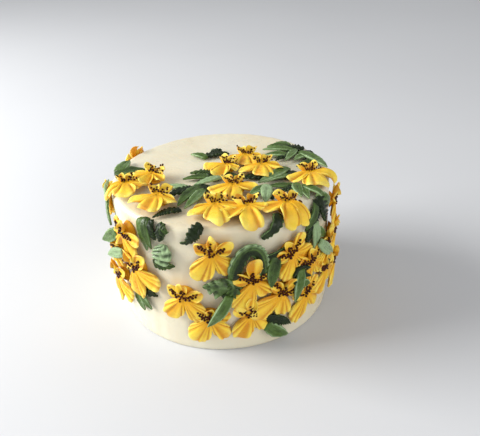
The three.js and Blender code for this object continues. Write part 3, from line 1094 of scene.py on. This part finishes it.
@dataclass(frozen=True)
class LeafStyle:
    """What a way of piping gives a leaf.

    Attributes:
        thick: Half its thickness on the midrib.
        ripple: How deep the cross ripples of a leaf of the usual width are.
        pitch: Length of one ripple as a share of the leaf's width.
        frill: How much the ripples swell its outline, as a share.
        crease: Depth of the crease along its middle.
        rib: Height of the fine ribs along it.
        lip: Height of its raised border.
        edge: Power by which the ripples grow towards the edges.
    """

    thick: float
    ripple: float
    pitch: float
    frill: float
    crease: float
    rib: float
    lip: float
    edge: float = 0.8


LEAF_STYLES = {
    SMOOTH: LeafStyle(1.3, ripple=0.14, pitch=0.5, frill=0.03, crease=0.95, rib=0.13, lip=0.3),
    RUFFLED: LeafStyle(1.2, ripple=0.8, pitch=0.36, frill=0.12, crease=0.35, rib=0.08, lip=0.15),
    STROKE: LeafStyle(1.35, ripple=0.4, pitch=0.5, frill=0.12, crease=0.7, rib=0.12, lip=0.5),
    SHELL: LeafStyle(1.3, ripple=0.5, pitch=0.34, frill=0.03, crease=0, rib=0.04, lip=0.3, edge=0.25),
}

# A leaf's grid, heights and outline.
LEAF_ROWS = 46
LEAF_COLUMNS = 17
LEAF_REST = 1.9
LEAF_ARCH = 1.2
LEAF_DROOP = 0.5
LEAF_ROOT = 0.2
LEAF_FULLNESS = 0.8
LEAF_POINT = 0.15
LEAF_TIP = 0.004
LEAF_BEND, LEAF_STRIDE = 0.05, 3
TIP_THINNING = 0.45
EDGE_ROUNDING = 6
END_ROUNDING = 16
END_SHARE = 0.999
USUAL_WIDTH = 8.0
RIPPLE_GROWTH = 1.4
RIPPLE_FADING = 0.6

# The ripples' uneven places along the leaf and their slant beside the midrib.
RIPPLE_DRIFT, RIPPLE_SWING = 0.05, 9
RIPPLE_SLANT = 0.3

# A shell's ripples fan out from a hub this far along it, leaning over and closing up.
FAN_HUB = 0.45
FAN_LEAN = 0.2
FAN_CLOSING = 0.3

# A shell's and a stroke's outline: squareness, fullness, least width and narrowing.
BLUNT_OUTLINES = {SHELL: (2.3, 0.6, LEAF_TIP, 0.0), STROKE: (8.0, 0.5, 0.02, 0.25)}

# Across a leaf: the raised border, the crease, and the ribs, which sway along it.
BORDER_PLACE, BORDER_WIDTH = 0.86, 0.1
CREASE_WIDTH = 0.16
RIB_TURN, RIB_SWAY, RIB_SWING = 8 * np.pi, 0.8, 7

# Where along a leaf its ripples, border, crease and ribs start and are full.
RIPPLE_SPAN = (0.0, 0.12)
EDGE_SPAN = (0.0, 0.25)
CREASE_SPAN = (0.05, 0.3)
RIB_SPAN = (0.0, 0.2)

# Painted shade of creases, ripples and ribs; paler parts: the tip, and a painted highlight on the border.
CREASE_SHADING = 0.75
RIPPLE_SHADING = 1.6
RIB_SHADING = 3.4
TIP_TONE = 0.16
BORDER_HIGHLIGHT = 1.5

# Painted shade on the inner side of a bowed leaf: how dark, and where across it starts and is full.
INNER_SHADING = 0.6
INNER_SHADING_SPAN = (-0.35, 0.1)


@dataclass(frozen=True)
class Leaf:
    """A piped leaf from its base to its tip.

    Attributes:
        kind: How it was piped.
        shade: How pale its green is.
        base: Its base, as (x, y) on the top or (degrees, height) on the wall.
        tip: Its tip, likewise.
        wide: Its greatest width.
        lift: How far it stands off the icing.
        bow: How far its middle swings to its left.
        rise: How far its tip rises.
    """

    kind: LeafKind
    shade: Shade
    base: Place
    tip: Place
    wide: float
    lift: float = 0.0
    bow: float = 0.0
    rise: float = 0.0

    @property
    def style(self) -> LeafStyle:
        """What its way of piping gives it."""
        return LEAF_STYLES[self.kind]

    @property
    def phase(self) -> float:
        """An angle of its own, so that no two leaves ripple alike."""
        return self.base[0] + self.tip[1]

    def spine(self, face: Face, along: Array) -> tuple[Array, Array, float]:
        """The leaf's middle line, flat.

        It is straight, or half an ellipse where the leaf is bowed, with a slight bend
        of its own that is nothing at both ends.

        Args:
            face: The side of the cake that it is on.
            along: The share of the way from base to tip.

        Returns:
            Its points, its unit headings and its length.
        """
        start, end = ICING.flat_place(face, self.base), ICING.flat_place(face, self.tip)
        run = end - start
        length = float(np.hypot(*run))
        side = np.array([run[1], -run[0]]) / length
        swing = np.pi * along
        if self.bow:
            travel, pace, sway = (1 - np.cos(swing)) / 2, np.sin(swing) / 2, -self.bow
        else:
            travel, pace = along, np.full_like(along, 1 / np.pi)
            sway = LEAF_BEND * length * np.sin(self.base[0] * LEAF_STRIDE + self.tip[1])
        points = start + travel * run + side * sway * np.sin(swing)
        heading = pace * run + side * sway * np.cos(swing)
        whole = length + 2 * abs(self.bow)
        return points, heading / np.linalg.norm(heading, axis=-1, keepdims=True), whole

    def outline(self, along: Array) -> Array:
        """Share of the full width along the leaf.

        A shell and a stroke are one less a power of the way from their middle, and a
        stroke narrows to its tip. Another leaf is a power of a sine, which makes it
        widest near its base and pointed at its tip.

        Args:
            along: The share of the way from base to tip.

        Returns:
            The share of the width there.
        """
        if self.kind in BLUNT_OUTLINES:
            square, fullness, least, narrowing = BLUNT_OUTLINES[self.kind]
            swell = np.maximum(1 - np.abs(2 * along - 1) ** square, least)
            return swell**fullness * (1 - narrowing * along**2)
        swell = np.maximum(np.sin(np.pi * (LEAF_ROOT + (1 - LEAF_ROOT) * along)), LEAF_TIP)
        return swell ** (LEAF_FULLNESS + LEAF_POINT * along)

    def wave(self, along: Array, across: Array, length: float) -> Array:
        """The cross ripples, a sine along the leaf.

        On both sides of the midrib they slant to the tip. A shell's fan out instead,
        as they lie closer together towards one side.

        Args:
            along: The share of the way from base to tip.
            across: The way across, from -1 to 1.
            length: The leaf's length.

        Returns:
            The ripples, from -1 to 1.
        """
        if self.kind is SHELL:
            place = (along - FAN_HUB - FAN_LEAN * across) / (1 + FAN_CLOSING * across)
        else:
            uneven = RIPPLE_DRIFT * np.sin(RIPPLE_SWING * along + self.phase)
            place = along + uneven - RIPPLE_SLANT * self.wide / length * np.abs(across)
        turns = length / (self.style.pitch * self.wide)
        return np.sin(2 * np.pi * turns * place + self.phase)

    def skin(self, face: Face) -> Skin:
        """The leaf as a thin body laid on the cake.

        Its upper face arches along its length and falls towards its edges, with a crease
        along the middle, fine ribs beside it, a raised border and cross ripples that grow
        towards the edges.

        Args:
            face: The side of the cake that it is on.

        Returns:
            The leaf with its groove and shade values, which carry painted shade and a painted highlight.
        """
        style = self.style
        along = crowded(0, 1, LEAF_ROWS)[:, None]
        across = crowded(1, -1, LEAF_COLUMNS)[None, :]
        side = np.abs(across)
        points, heading, length = self.spine(face, along)
        wave = self.wave(along, across, length)
        ripple = wave * side**style.edge * smooth_step(along, *RIPPLE_SPAN)
        ripple = ripple * (1 - RIPPLE_FADING * along**3)
        border = style.lip * ridge(side, BORDER_PLACE, BORDER_WIDTH) * smooth_step(along, *EDGE_SPAN)
        crease = style.crease * ridge(across, 0, CREASE_WIDTH) * smooth_step(along, *CREASE_SPAN)
        ribs = np.cos(RIB_TURN * across + RIB_SWAY * np.sin(RIB_SWING * along + self.phase))
        ribs = style.rib * ribs * smooth_step(along, *RIB_SPAN)
        deep = style.ripple * (self.wide / USUAL_WIDTH) ** RIPPLE_GROWTH
        height = LEAF_REST + self.lift + LEAF_ARCH * np.sin(np.pi * along) + self.rise * along**2
        height = height - LEAF_DROOP * side + deep * ripple + ribs + border
        narrow = min(1, self.wide / USUAL_WIDTH)
        thick = style.thick * narrow * np.sqrt(1 - across**EDGE_ROUNDING) * (1 - TIP_THINNING * along)
        thick = thick * np.sqrt(1 - END_SHARE * (2 * along - 1) ** END_ROUNDING)
        half = self.wide / 2 * self.outline(along) * (1 + style.frill * wave)
        u = points[:, :1] + across * half * heading[:, 1:]
        v = points[:, 1:] - across * half * heading[:, :1]
        upper = np.stack([u, v, height + thick - narrow * crease * (1 - along**4)], axis=-1)
        lower = np.stack([u, v, height - thick], axis=-1)
        # Painted shade in the crease, in the ripples' troughs and between the ribs.
        groove_shading = CREASE_SHADING * crease + (1 - ripple) / 2 * min(1, RIPPLE_SHADING * deep) - RIB_SHADING * ribs
        # The leaf's own green, paler towards the tip, with a painted highlight on its raised border.
        shade = self.shade.value + TIP_TONE * (along - 0.5) + BORDER_HIGHLIGHT * border
        # Painted shade on the inner side of a bowed leaf.
        if self.bow:
            shade = shade - INNER_SHADING * smooth_step(across * np.sign(self.bow), *INNER_SHADING_SPAN)
        body = thin_body(upper, lower, {"groove": np.clip(groove_shading, 0, 1), "shade": shade})
        return replace(body, places=ICING.lay(face, body.places))


@dataclass(frozen=True)
class Spray:
    """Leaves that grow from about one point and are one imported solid.

    Attributes:
        node: The solid's name.
        face: The side of the cake that they are on.
        leaves: The leaves, lowest first.
    """

    node: str
    face: Face
    leaves: tuple[Leaf, ...]

    def build(self, material: bpy.types.Material) -> bpy.types.Object:
        """Builds the spray as one piece in the place of its solid."""
        skin = joined([leaf.skin(self.face) for leaf in self.leaves])
        return made_piece(f"piped_{self.node}", skin, material, self.node)


def on_top(x: float, y: float, *more: object) -> Flower:
    """A flower on the cake's top, and its turn, size, lift and petals' lengths."""
    return Flower(TOP, (x, y), *more)


def on_wall(bearing: float, height: float, *more: object) -> Flower:
    """A flower on the cake's wall, at a bearing in degrees to the right of the front."""
    return Flower(WALL, (bearing, height), *more)


CLUSTERS = (
    Cluster("flower_top_back", (on_top(20.7, 22.5, 0, 0.9, 0, (1.15, 1, 1.15, 1.1, 1.1)),)),
    Cluster("flower_top_middle_left", (on_top(5.2, 5.8, -15, 0.86, 0.8),)),
    Cluster("flower_top_middle_right", (on_top(31, 2.6, 4, 0.96, 1, (1.05, 1, 1.1, 1.05, 1.05)),)),
    Cluster("flower_top_right", (on_top(64.2, -14.2, 14, 0.97, 1, (1.05, 1.15, 1.05, 1, 1)),)),
    Cluster("flower_top_centre", (on_top(9.1, -28, 2, 1, 1.3, (1.06, 1.08, 1.05, 1, 1)),)),
    Cluster("flower_top_front_right", (on_top(42.7, -58, -3, 1, 1.5, (1.08, 0.7, 0.95, 1, 1.1)),)),
    Cluster("flower_top_front_left", (on_top(-3.8, -54, 6, 1.07, 1),)),
    Cluster("flower_top_front", (on_top(17, -59, 15, 1.05, 1.4, (1.05, 1.04, 0.7, 1, 1)),)),
    Cluster("flower_top_left_rim", (on_top(-66.5, -16, 10, 0.95, 1, (0.7, 1, 1, 0.9, 0.8)),)),
    Cluster("flower_top_left_back", (on_top(-48.3, -4.8, -22, 0.95, 1.5, (1.05, 0.74, 0.85, 1, 1)),)),
    Cluster("flower_top_left", (on_top(-42.6, -38, -12, 1.04, 1.5),)),
    Cluster("flower_left_rim", (on_wall(-97, 84, 10, 0.88, 1.6, (1, 1, 0.9, 0.75, 0.9)),)),
    Cluster("flower_left_back", (on_wall(-126, 90, 0, 0.92, 0, (1, 1, 1, 0.8, 1)),)),
    Cluster("flower_left_c", (on_wall(-64.6, 40.5, 14, 1, 3),)),
    Cluster("flower_left_d", (on_wall(-66, 65, -8, 0.88, 2.5, (1, 1, 0.7, 0.7, 1)),)),
    Cluster("flower_left_b", (on_wall(-47, 60, 26, 1.05, 1.5, (1, 1, 1, 1, 0.8)),)),
    Cluster("flower_left_a", (on_wall(-51.8, 85.3, -22, 0.98, 2.5, (0.9, 1, 1.1, 0.8, 0.95)),)),
    Cluster("flower_front_c", (on_wall(-8.5, 31.4, -2, 1, 0, (1, 1, 0.85, 0.82, 1)),)),
    Cluster("flower_front_b", (on_wall(-20.2, 48, -2, 1, 1),)),
    Cluster("flower_front_a", (on_wall(-5.5, 84, 0, 1, 0, (1, 1, 1, 0.86, 1)),)),
    Cluster("flower_front_d", (on_wall(10.8, 33, 4, 1, 0, (1, 0.9, 1, 1, 1)),)),
    Cluster("flower_front_e", (on_wall(12, 60.3, 6, 0.97, 1, (1, 0.94, 1.1, 1.48, 1.15)),)),
    Cluster("flower_right_c", (on_wall(41.5, 33.3, 10, 1),)),
    Cluster("flower_right_b", (on_wall(26.3, 44.2, -30, 0.99, 1),)),
    Cluster("flower_right_e", (on_wall(58.5, 42.5, 5, 0.96, 1.5),)),
    Cluster("flower_right_h", (on_wall(74, 34, 0, 0.9, 2),)),
    Cluster("flower_right_d", (on_wall(43.9, 58.7, 12, 0.96, 1),)),
    Cluster("flower_right_a", (on_wall(31.5, 73.6, 28, 0.99, 1),)),
    Cluster("flower_right_g", (on_wall(60, 62, 6, 0.92, 1.2),)),
    Cluster("flower_right_f", (on_wall(75, 59, 0, 0.86, 1.4),)),
    Cluster("flower_right_rim", (on_wall(80, 80, -10, 0.9, 0.6),)),
    Cluster("flowers_back_left", (on_wall(-142, 72, -12, 0.92, 1), on_wall(-147, 51, 8, 0.95, 1))),
    Cluster("flowers_back_right", (on_wall(118, 71, 10, 0.95, 1), on_wall(124, 51, -8, 0.92, 1))),
)

SPRAYS = (
    Spray("leaves_top_back", TOP, (
        Leaf(SMOOTH, MID, (-9, 25), (-22, 33.5), 7),
        Leaf(RUFFLED, DARK, (-10.5, 29), (8, 31), 8),
        Leaf(RUFFLED, DARK, (-1.5, 30), (-1, 41), 8),
    )),
    Spray("leaves_top_right_a", TOP, (
        Leaf(SMOOTH, MID, (55.5, 37), (45.5, 47), 9),
        Leaf(SMOOTH, DEEP, (55, 38), (38, 39.5), 8, 0.4),
        Leaf(RUFFLED, DARK, (66, 31), (51, 36), 7.5),
        Leaf(SMOOTH, MID, (58, 30), (34, 33.5), 7, 0.8),
        Leaf(SMOOTH, MID, (53, 21), (34.5, 23.5), 8, 0.5),
        Leaf(RUFFLED, DARK, (58, 28), (42, 14), 7),
        Leaf(SMOOTH, MID, (59, 29.5), (48.5, 10), 6.5, 1.2),
    )),
    Spray("leaves_top_right_b", TOP, (
        Leaf(RUFFLED, DARK, (66, 27), (68, 8), 8),
        Leaf(SMOOTH, MID, (61.5, 25), (77, -3), 8.5, 1),
        Leaf(SMOOTH, MID, (66, 18), (55.5, 11), 6.5, 0.6),
        Leaf(RUFFLED, DEEP, (70, 8), (56, 2), 6.5),
    )),
    Spray("leaves_top_left", TOP, (
        Leaf(RUFFLED, DEEP, (-4, -5), (-22, 0.5), 7.5),
        Leaf(SMOOTH, DEEP, (-5, -9), (-27, -9.5), 7, 0.3),
        Leaf(RUFFLED, DARK, (-3, -14), (-8, 1), 8),
        Leaf(SMOOTH, PALE, (0, -10), (-19, -21), 7, 0.8),
        Leaf(SMOOTH, DEEP, (13, -11), (-5.5, -5), 7.5),
    )),
    Spray("leaves_top_right_c", TOP, (
        Leaf(RUFFLED, DARK, (36, -13), (14, -13), 8),
        Leaf(SMOOTH, MID, (49, -1.5), (26, -23), 10, 1),
        Leaf(RUFFLED, DARK, (55, -8), (40, -16), 7),
        Leaf(SMOOTH, MID, (50, -14), (30, -22.5), 6.5, 0.8),
    )),
    Spray("leaves_top_right_d", TOP, (
        Leaf(SMOOTH, DEEP, (53, -29), (30.5, -27.6), 6.5),
        Leaf(SMOOTH, MID, (52, -27), (53.5, -47), 7.5, 0.8),
        Leaf(RUFFLED, DARK, (55, -31), (40, -37), 7),
        Leaf(SMOOTH, MID, (55, -30), (58, -49), 7, 0.4),
        Leaf(SMOOTH, MID, (56, -30), (69.5, -46), 7, 0.8),
    )),
    Spray("leaves_top_left_front", TOP, (
        Leaf(RUFFLED, DARK, (-9, -21), (-22, -39), 9),
        Leaf(SMOOTH, PALE, (-22, -23), (-41, -18.5), 6.5),
        Leaf(RUFFLED, DARK, (-17, -24), (-38, -35), 8),
        Leaf(SMOOTH, DEEP, (-14, -22), (-29.5, -50), 8, 0.8),
        Leaf(SMOOTH, MID, (-12, -28), (-25, -54), 8, 1),
    )),
    Spray("leaves_top_left_rim", TOP, (Leaf(RUFFLED, DARK, (-27, -53), (-45, -61), 6.5),)),
    Spray("leaves_back_left", TOP, (
        Leaf(SMOOTH, DEEP, (-77, 6), (-55, 11), 12),
        Leaf(SMOOTH, MID, (-74, 8), (-68, 27), 9, 0.6),
    )),
    Spray("leaves_front_rim_a", WALL, (
        Leaf(RUFFLED, DARK, (-10, 100.5), (-17.6, 87.8), 7.4),
        Leaf(STROKE, DARK, (-14, 91), (-20.5, 88.5), 2.4, -0.5),
    )),
    Spray("leaves_front_rim_b", WALL, (Leaf(STROKE, DARK, (28.5, 101), (17, 89.5), 6.5),)),
    Spray("leaves_right_rim", WALL, (
        Leaf(RUFFLED, DARK, (53, 98), (42, 70), 9),
        Leaf(SMOOTH, MID, (53.5, 97), (67, 88.5), 8.5, 0.5),
        Leaf(SMOOTH, DEEP, (50.5, 96), (41, 83.5), 8, 1),
        Leaf(RUFFLED, DARK, (54, 99), (60.5, 77), 9, 0.8),
        Leaf(SMOOTH, PALE, (48.5, 86), (47.5, 60), 8.5, 1.5),
        Leaf(SMOOTH, MID, (49.5, 81), (60.5, 66), 6.5, 1.2),
        Leaf(SMOOTH, PALE, (49, 71), (65.5, 49), 8, 4.9),
    )),
    Spray("leaves_left_a", WALL, (
        Leaf(RUFFLED, DARK, (-36.5, 99), (-33, 87), 7),
        Leaf(SMOOTH, MID, (-42.5, 98.5), (-39, 76), 7.5),
        Leaf(SMOOTH, DEEP, (-38.5, 99.5), (-35.8, 79.5), 7.5, 0.6),
    )),
    Spray("leaves_left_b", WALL, (
        Leaf(RUFFLED, DARK, (-29.5, 99), (-31, 86.5), 7),
        Leaf(RUFFLED, DEEP, (-31.5, 97), (-25.5, 95), 5.5),
    )),
    Spray("leaves_left_c", WALL, (
        Leaf(RUFFLED, DEEP, (-36, 69), (-24, 69.5), 8),
        Leaf(SHELL, PALE, (-32.5, 69.5), (-28, 86), 13.5, 1),
    )),
    Spray("leaves_left_d", WALL, (
        Leaf(SMOOTH, MID, (-50.5, 38), (-47, 21), 8.6),
        Leaf(SMOOTH, MID, (-48.5, 38), (-41, 26), 7.2, 0.4),
        Leaf(RUFFLED, DARK, (-49.5, 42), (-36, 40), 8),
    )),
    Spray("leaves_front_low", WALL, (
        Leaf(RUFFLED, DARK, (18, 27), (32, 13), 7.5, 1.6),
        Leaf(SMOOTH, MID, (17.8, 20.5), (30, 5.5), 10, 2.2),
    )),
    Spray("leaves_back_a", WALL, (
        Leaf(SMOOTH, PALE, (-150, 70), (-141, 50), 8),
        Leaf(SMOOTH, MID, (-150, 71), (-157, 52), 8, 0.6),
        Leaf(RUFFLED, DARK, (-151, 69), (-166, 66), 8),
    )),
    Spray("leaves_back_b", WALL, (
        Leaf(SMOOTH, PALE, (128, 72), (141, 62), 8),
        Leaf(SMOOTH, MID, (128, 71), (131, 48), 8, 0.6),
        Leaf(RUFFLED, DARK, (127, 70), (118, 55), 8),
    )),
    Spray("leaves_left_rim", WALL, (
        Leaf(SMOOTH, PALE, (-79.5, 92), (-99, 93), 7, 2.2, 0, 2),
        Leaf(SMOOTH, MID, (-80, 92.5), (-71.5, 76), 10, 1.8, 0, 1),
    )),
    Spray("leaves_left_e", WALL, (Leaf(SMOOTH, MID, (-58, 82), (-71, 67), 9, 4.6, 0, 6),)),
    Spray("leaves_left_f", WALL, (Leaf(SMOOTH, PALE, (-54, 67.5), (-67.5, 57), 8, 4.8, 0, 4.5),)),
    Spray("leaves_front_arch", WALL, (
        Leaf(STROKE, MID, (2.8, 62), (16.8, 60), 9.6, 3, 24.3),
        Leaf(STROKE, DARK, (15.5, 75), (29, 79), 4.5, 2.4),
        Leaf(SMOOTH, DEEP, (23, 76), (20.3, 51), 9, 3.5),
    )),
    Spray("leaves_top_middle", TOP, (
        Leaf(SMOOTH, MID, (31, -31), (18, -43), 7.5, 2),
        Leaf(SMOOTH, PALE, (30.5, -30), (28, -56), 8.5, 2.5),
        Leaf(STROKE, DARK, (33.5, -33), (33.5, -50), 4, 1.5),
    )),
    Spray("leaves_right_fan", WALL, (
        Leaf(RUFFLED, DARK, (36, 61), (36, 40), 14, 4),
        Leaf(SMOOTH, MID, (36, 59), (32.3, 33.5), 8, 5.2),
        Leaf(SMOOTH, MID, (35, 49), (41.5, 43), 6, 5.2),
    )),
    Spray("leaves_front_middle", WALL, (
        Leaf(RUFFLED, DEEP, (3.5, 64), (1, 45), 9, 2),
        Leaf(RUFFLED, MID, (4.5, 55), (-11, 58), 16, 2),
        Leaf(SMOOTH, MID, (1, 52), (-10, 26.5), 7.5, 5.1),
    )),
)


@dataclass(frozen=True)
class Piping:
    """Everything piped on the icing.

    Attributes:
        clusters: The flowers, solid by solid.
        sprays: The leaves, solid by solid.
    """

    clusters: tuple[Cluster, ...] = CLUSTERS
    sprays: tuple[Spray, ...] = SPRAYS

    def build(self) -> None:
        """Builds every cluster, every spray, and all dots as one piece."""
        yellow, green = YELLOW.material(), GREEN.material()
        for cluster in self.clusters:
            cluster.build(yellow)
        for spray in self.sprays:
            spray.build(green)
        flowers = [flower for cluster in self.clusters for flower in cluster.flowers]
        dots = joined([flower.laid(flower.dots()) for flower in flowers])
        made_piece("dark_dots", dots, BROWN.material())


@dataclass(frozen=True)
class Lamp:
    """A square soft light that faces the middle of the cake.

    Attributes:
        name: Its name.
        place: Where it stands, in metres.
        size: Its side, in metres.
        power: Its power, in watts.
        colour: The colour of its light.
        aim: What it faces, in metres.
    """

    name: str
    place: Point
    size: float
    power: float
    colour: Colour
    aim: Point = (0.0, 0.0, 0.05)

    def build(self) -> None:
        """Sets the light up."""
        data = bpy.data.lights.new(self.name, "AREA")
        data.size, data.energy, data.color = self.size, self.power, self.colour
        holder = placed(self.name, data)
        holder.location = self.place
        holder.rotation_mode = "QUATERNION"
        ahead = Vector(self.aim) - Vector(self.place)
        holder.rotation_quaternion = ahead.to_track_quat("-Z", "Y")


PHOTO_WIDTH = 480
SENSOR_WIDTH = 36.0
NEAREST, FARTHEST = 0.01, 50.0


@dataclass(frozen=True)
class Studio:
    """A pale floor, soft light and a camera at the photograph's viewing angle.

    Attributes:
        elevation: Angle of the camera over the horizon, in degrees.
        distance: Its distance from the cake's foot, in metres.
        yaw: How far it looks to the right of the cake's foot, in degrees.
        pitch: How far it looks above the cake's foot, in degrees.
        roll: How far it is tilted, in degrees.
        focal: Its focal length in pixels of the photograph's width.
        floor_half: Half the floor's side, in metres.
        floor_colours: The two nearly alike colours of the floor.
        floor_noise: Scale and detail of the noise that mixes them.
        floor_rough: Its roughness.
        floor_gloss: Its specular level.
        lamps: The strong light from the left and the weak one from the right.
        air: The colour of the light from all round.
        air_strength: Strength of the light from all round.
    """

    elevation: float = 36.284
    distance: float = 0.50049
    yaw: float = 1.614
    pitch: float = 5.977
    roll: float = -3.537
    focal: float = 612.147
    floor_half: float = 6.0
    floor_colours: tuple[Colour, Colour] = (linear(210, 212, 216), linear(216, 218, 222))
    floor_noise: Noise = (3, 4)
    floor_rough: float = 0.9
    floor_gloss: float = 0.1
    lamps: tuple[Lamp, ...] = (
        Lamp("key", (-1.2, 0.1, 0.62), 0.8, 28.5, (0.99, 0.985, 0.965)),
        Lamp("fill", (1.0, -1.2, 0.45), 1.4, 12.0, (1.0, 0.98, 0.96)),
    )
    air: Colour = (0.95, 0.95, 0.95)
    air_strength: float = 0.49

    def camera(self) -> None:
        """Sets the camera: it looks at the cake's foot, then turns by yaw, pitch and roll."""
        rise = np.radians(self.elevation)
        place = self.distance * np.array([0, -np.cos(rise), np.sin(rise)])
        right, ahead = np.array([1.0, 0, 0]), -place / self.distance
        up = np.cross(right, ahead)
        ahead, right = tilted(ahead, right, self.yaw)
        ahead, up = tilted(ahead, up, self.pitch)
        right, up = tilted(right, up, self.roll)
        data = bpy.data.cameras.new("view")
        data.sensor_width = SENSOR_WIDTH
        data.lens = self.focal * SENSOR_WIDTH / PHOTO_WIDTH
        data.clip_start, data.clip_end = NEAREST, FARTHEST
        holder = placed("view", data)
        turned = Matrix(np.stack([right, up, -ahead], axis=1).tolist()).to_4x4()
        holder.matrix_world = Matrix.Translation(Vector(place)) @ turned
        bpy.context.scene.camera = holder

    def floor(self) -> None:
        """Lays the plain pale floor under the cake."""
        half = self.floor_half
        corners = [(-half, -half, 0), (half, -half, 0), (half, half, 0), (-half, half, 0)]
        mesh = bpy.data.meshes.new("floor")
        mesh.from_pydata(corners, [], [(0, 1, 2, 3)])
        graph = FinishGraph("pale_floor")
        colour = graph.mixed(graph.noise(*self.floor_noise), *self.floor_colours)
        mesh.materials.append(graph.finish(
            Base_Color=colour, Roughness=self.floor_rough, Specular_IOR_Level=self.floor_gloss
        ))
        placed("floor", mesh)

    def light(self) -> None:
        """Sets the lamps and the pale air."""
        for lamp in self.lamps:
            lamp.build()
        world = bpy.data.worlds.new("pale_air")
        world.use_nodes = True
        ground = world.node_tree.nodes["Background"]
        ground.inputs["Color"].default_value = (*self.air, 1.0)
        ground.inputs["Strength"].default_value = self.air_strength
        bpy.context.scene.world = world

    def build(self) -> None:
        """Builds the whole studio."""
        self.camera()
        self.floor()
        self.light()
        bpy.context.scene.view_settings.view_transform = "Standard"
        LOG.info("studio: camera, floor and lights")


def main() -> None:
    """Builds the studio, the iced cake and its piping."""
    logging.basicConfig(level=logging.INFO, format="%(message)s")
    Studio().build()
    ICING.build(IVORY.material())
    Piping().build()
    bare = [name for name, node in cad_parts.items() if not node.hide_render]
    LOG.info("packed solids still shown: %s", bare or "none")


if __name__ == "__main__":
    main()
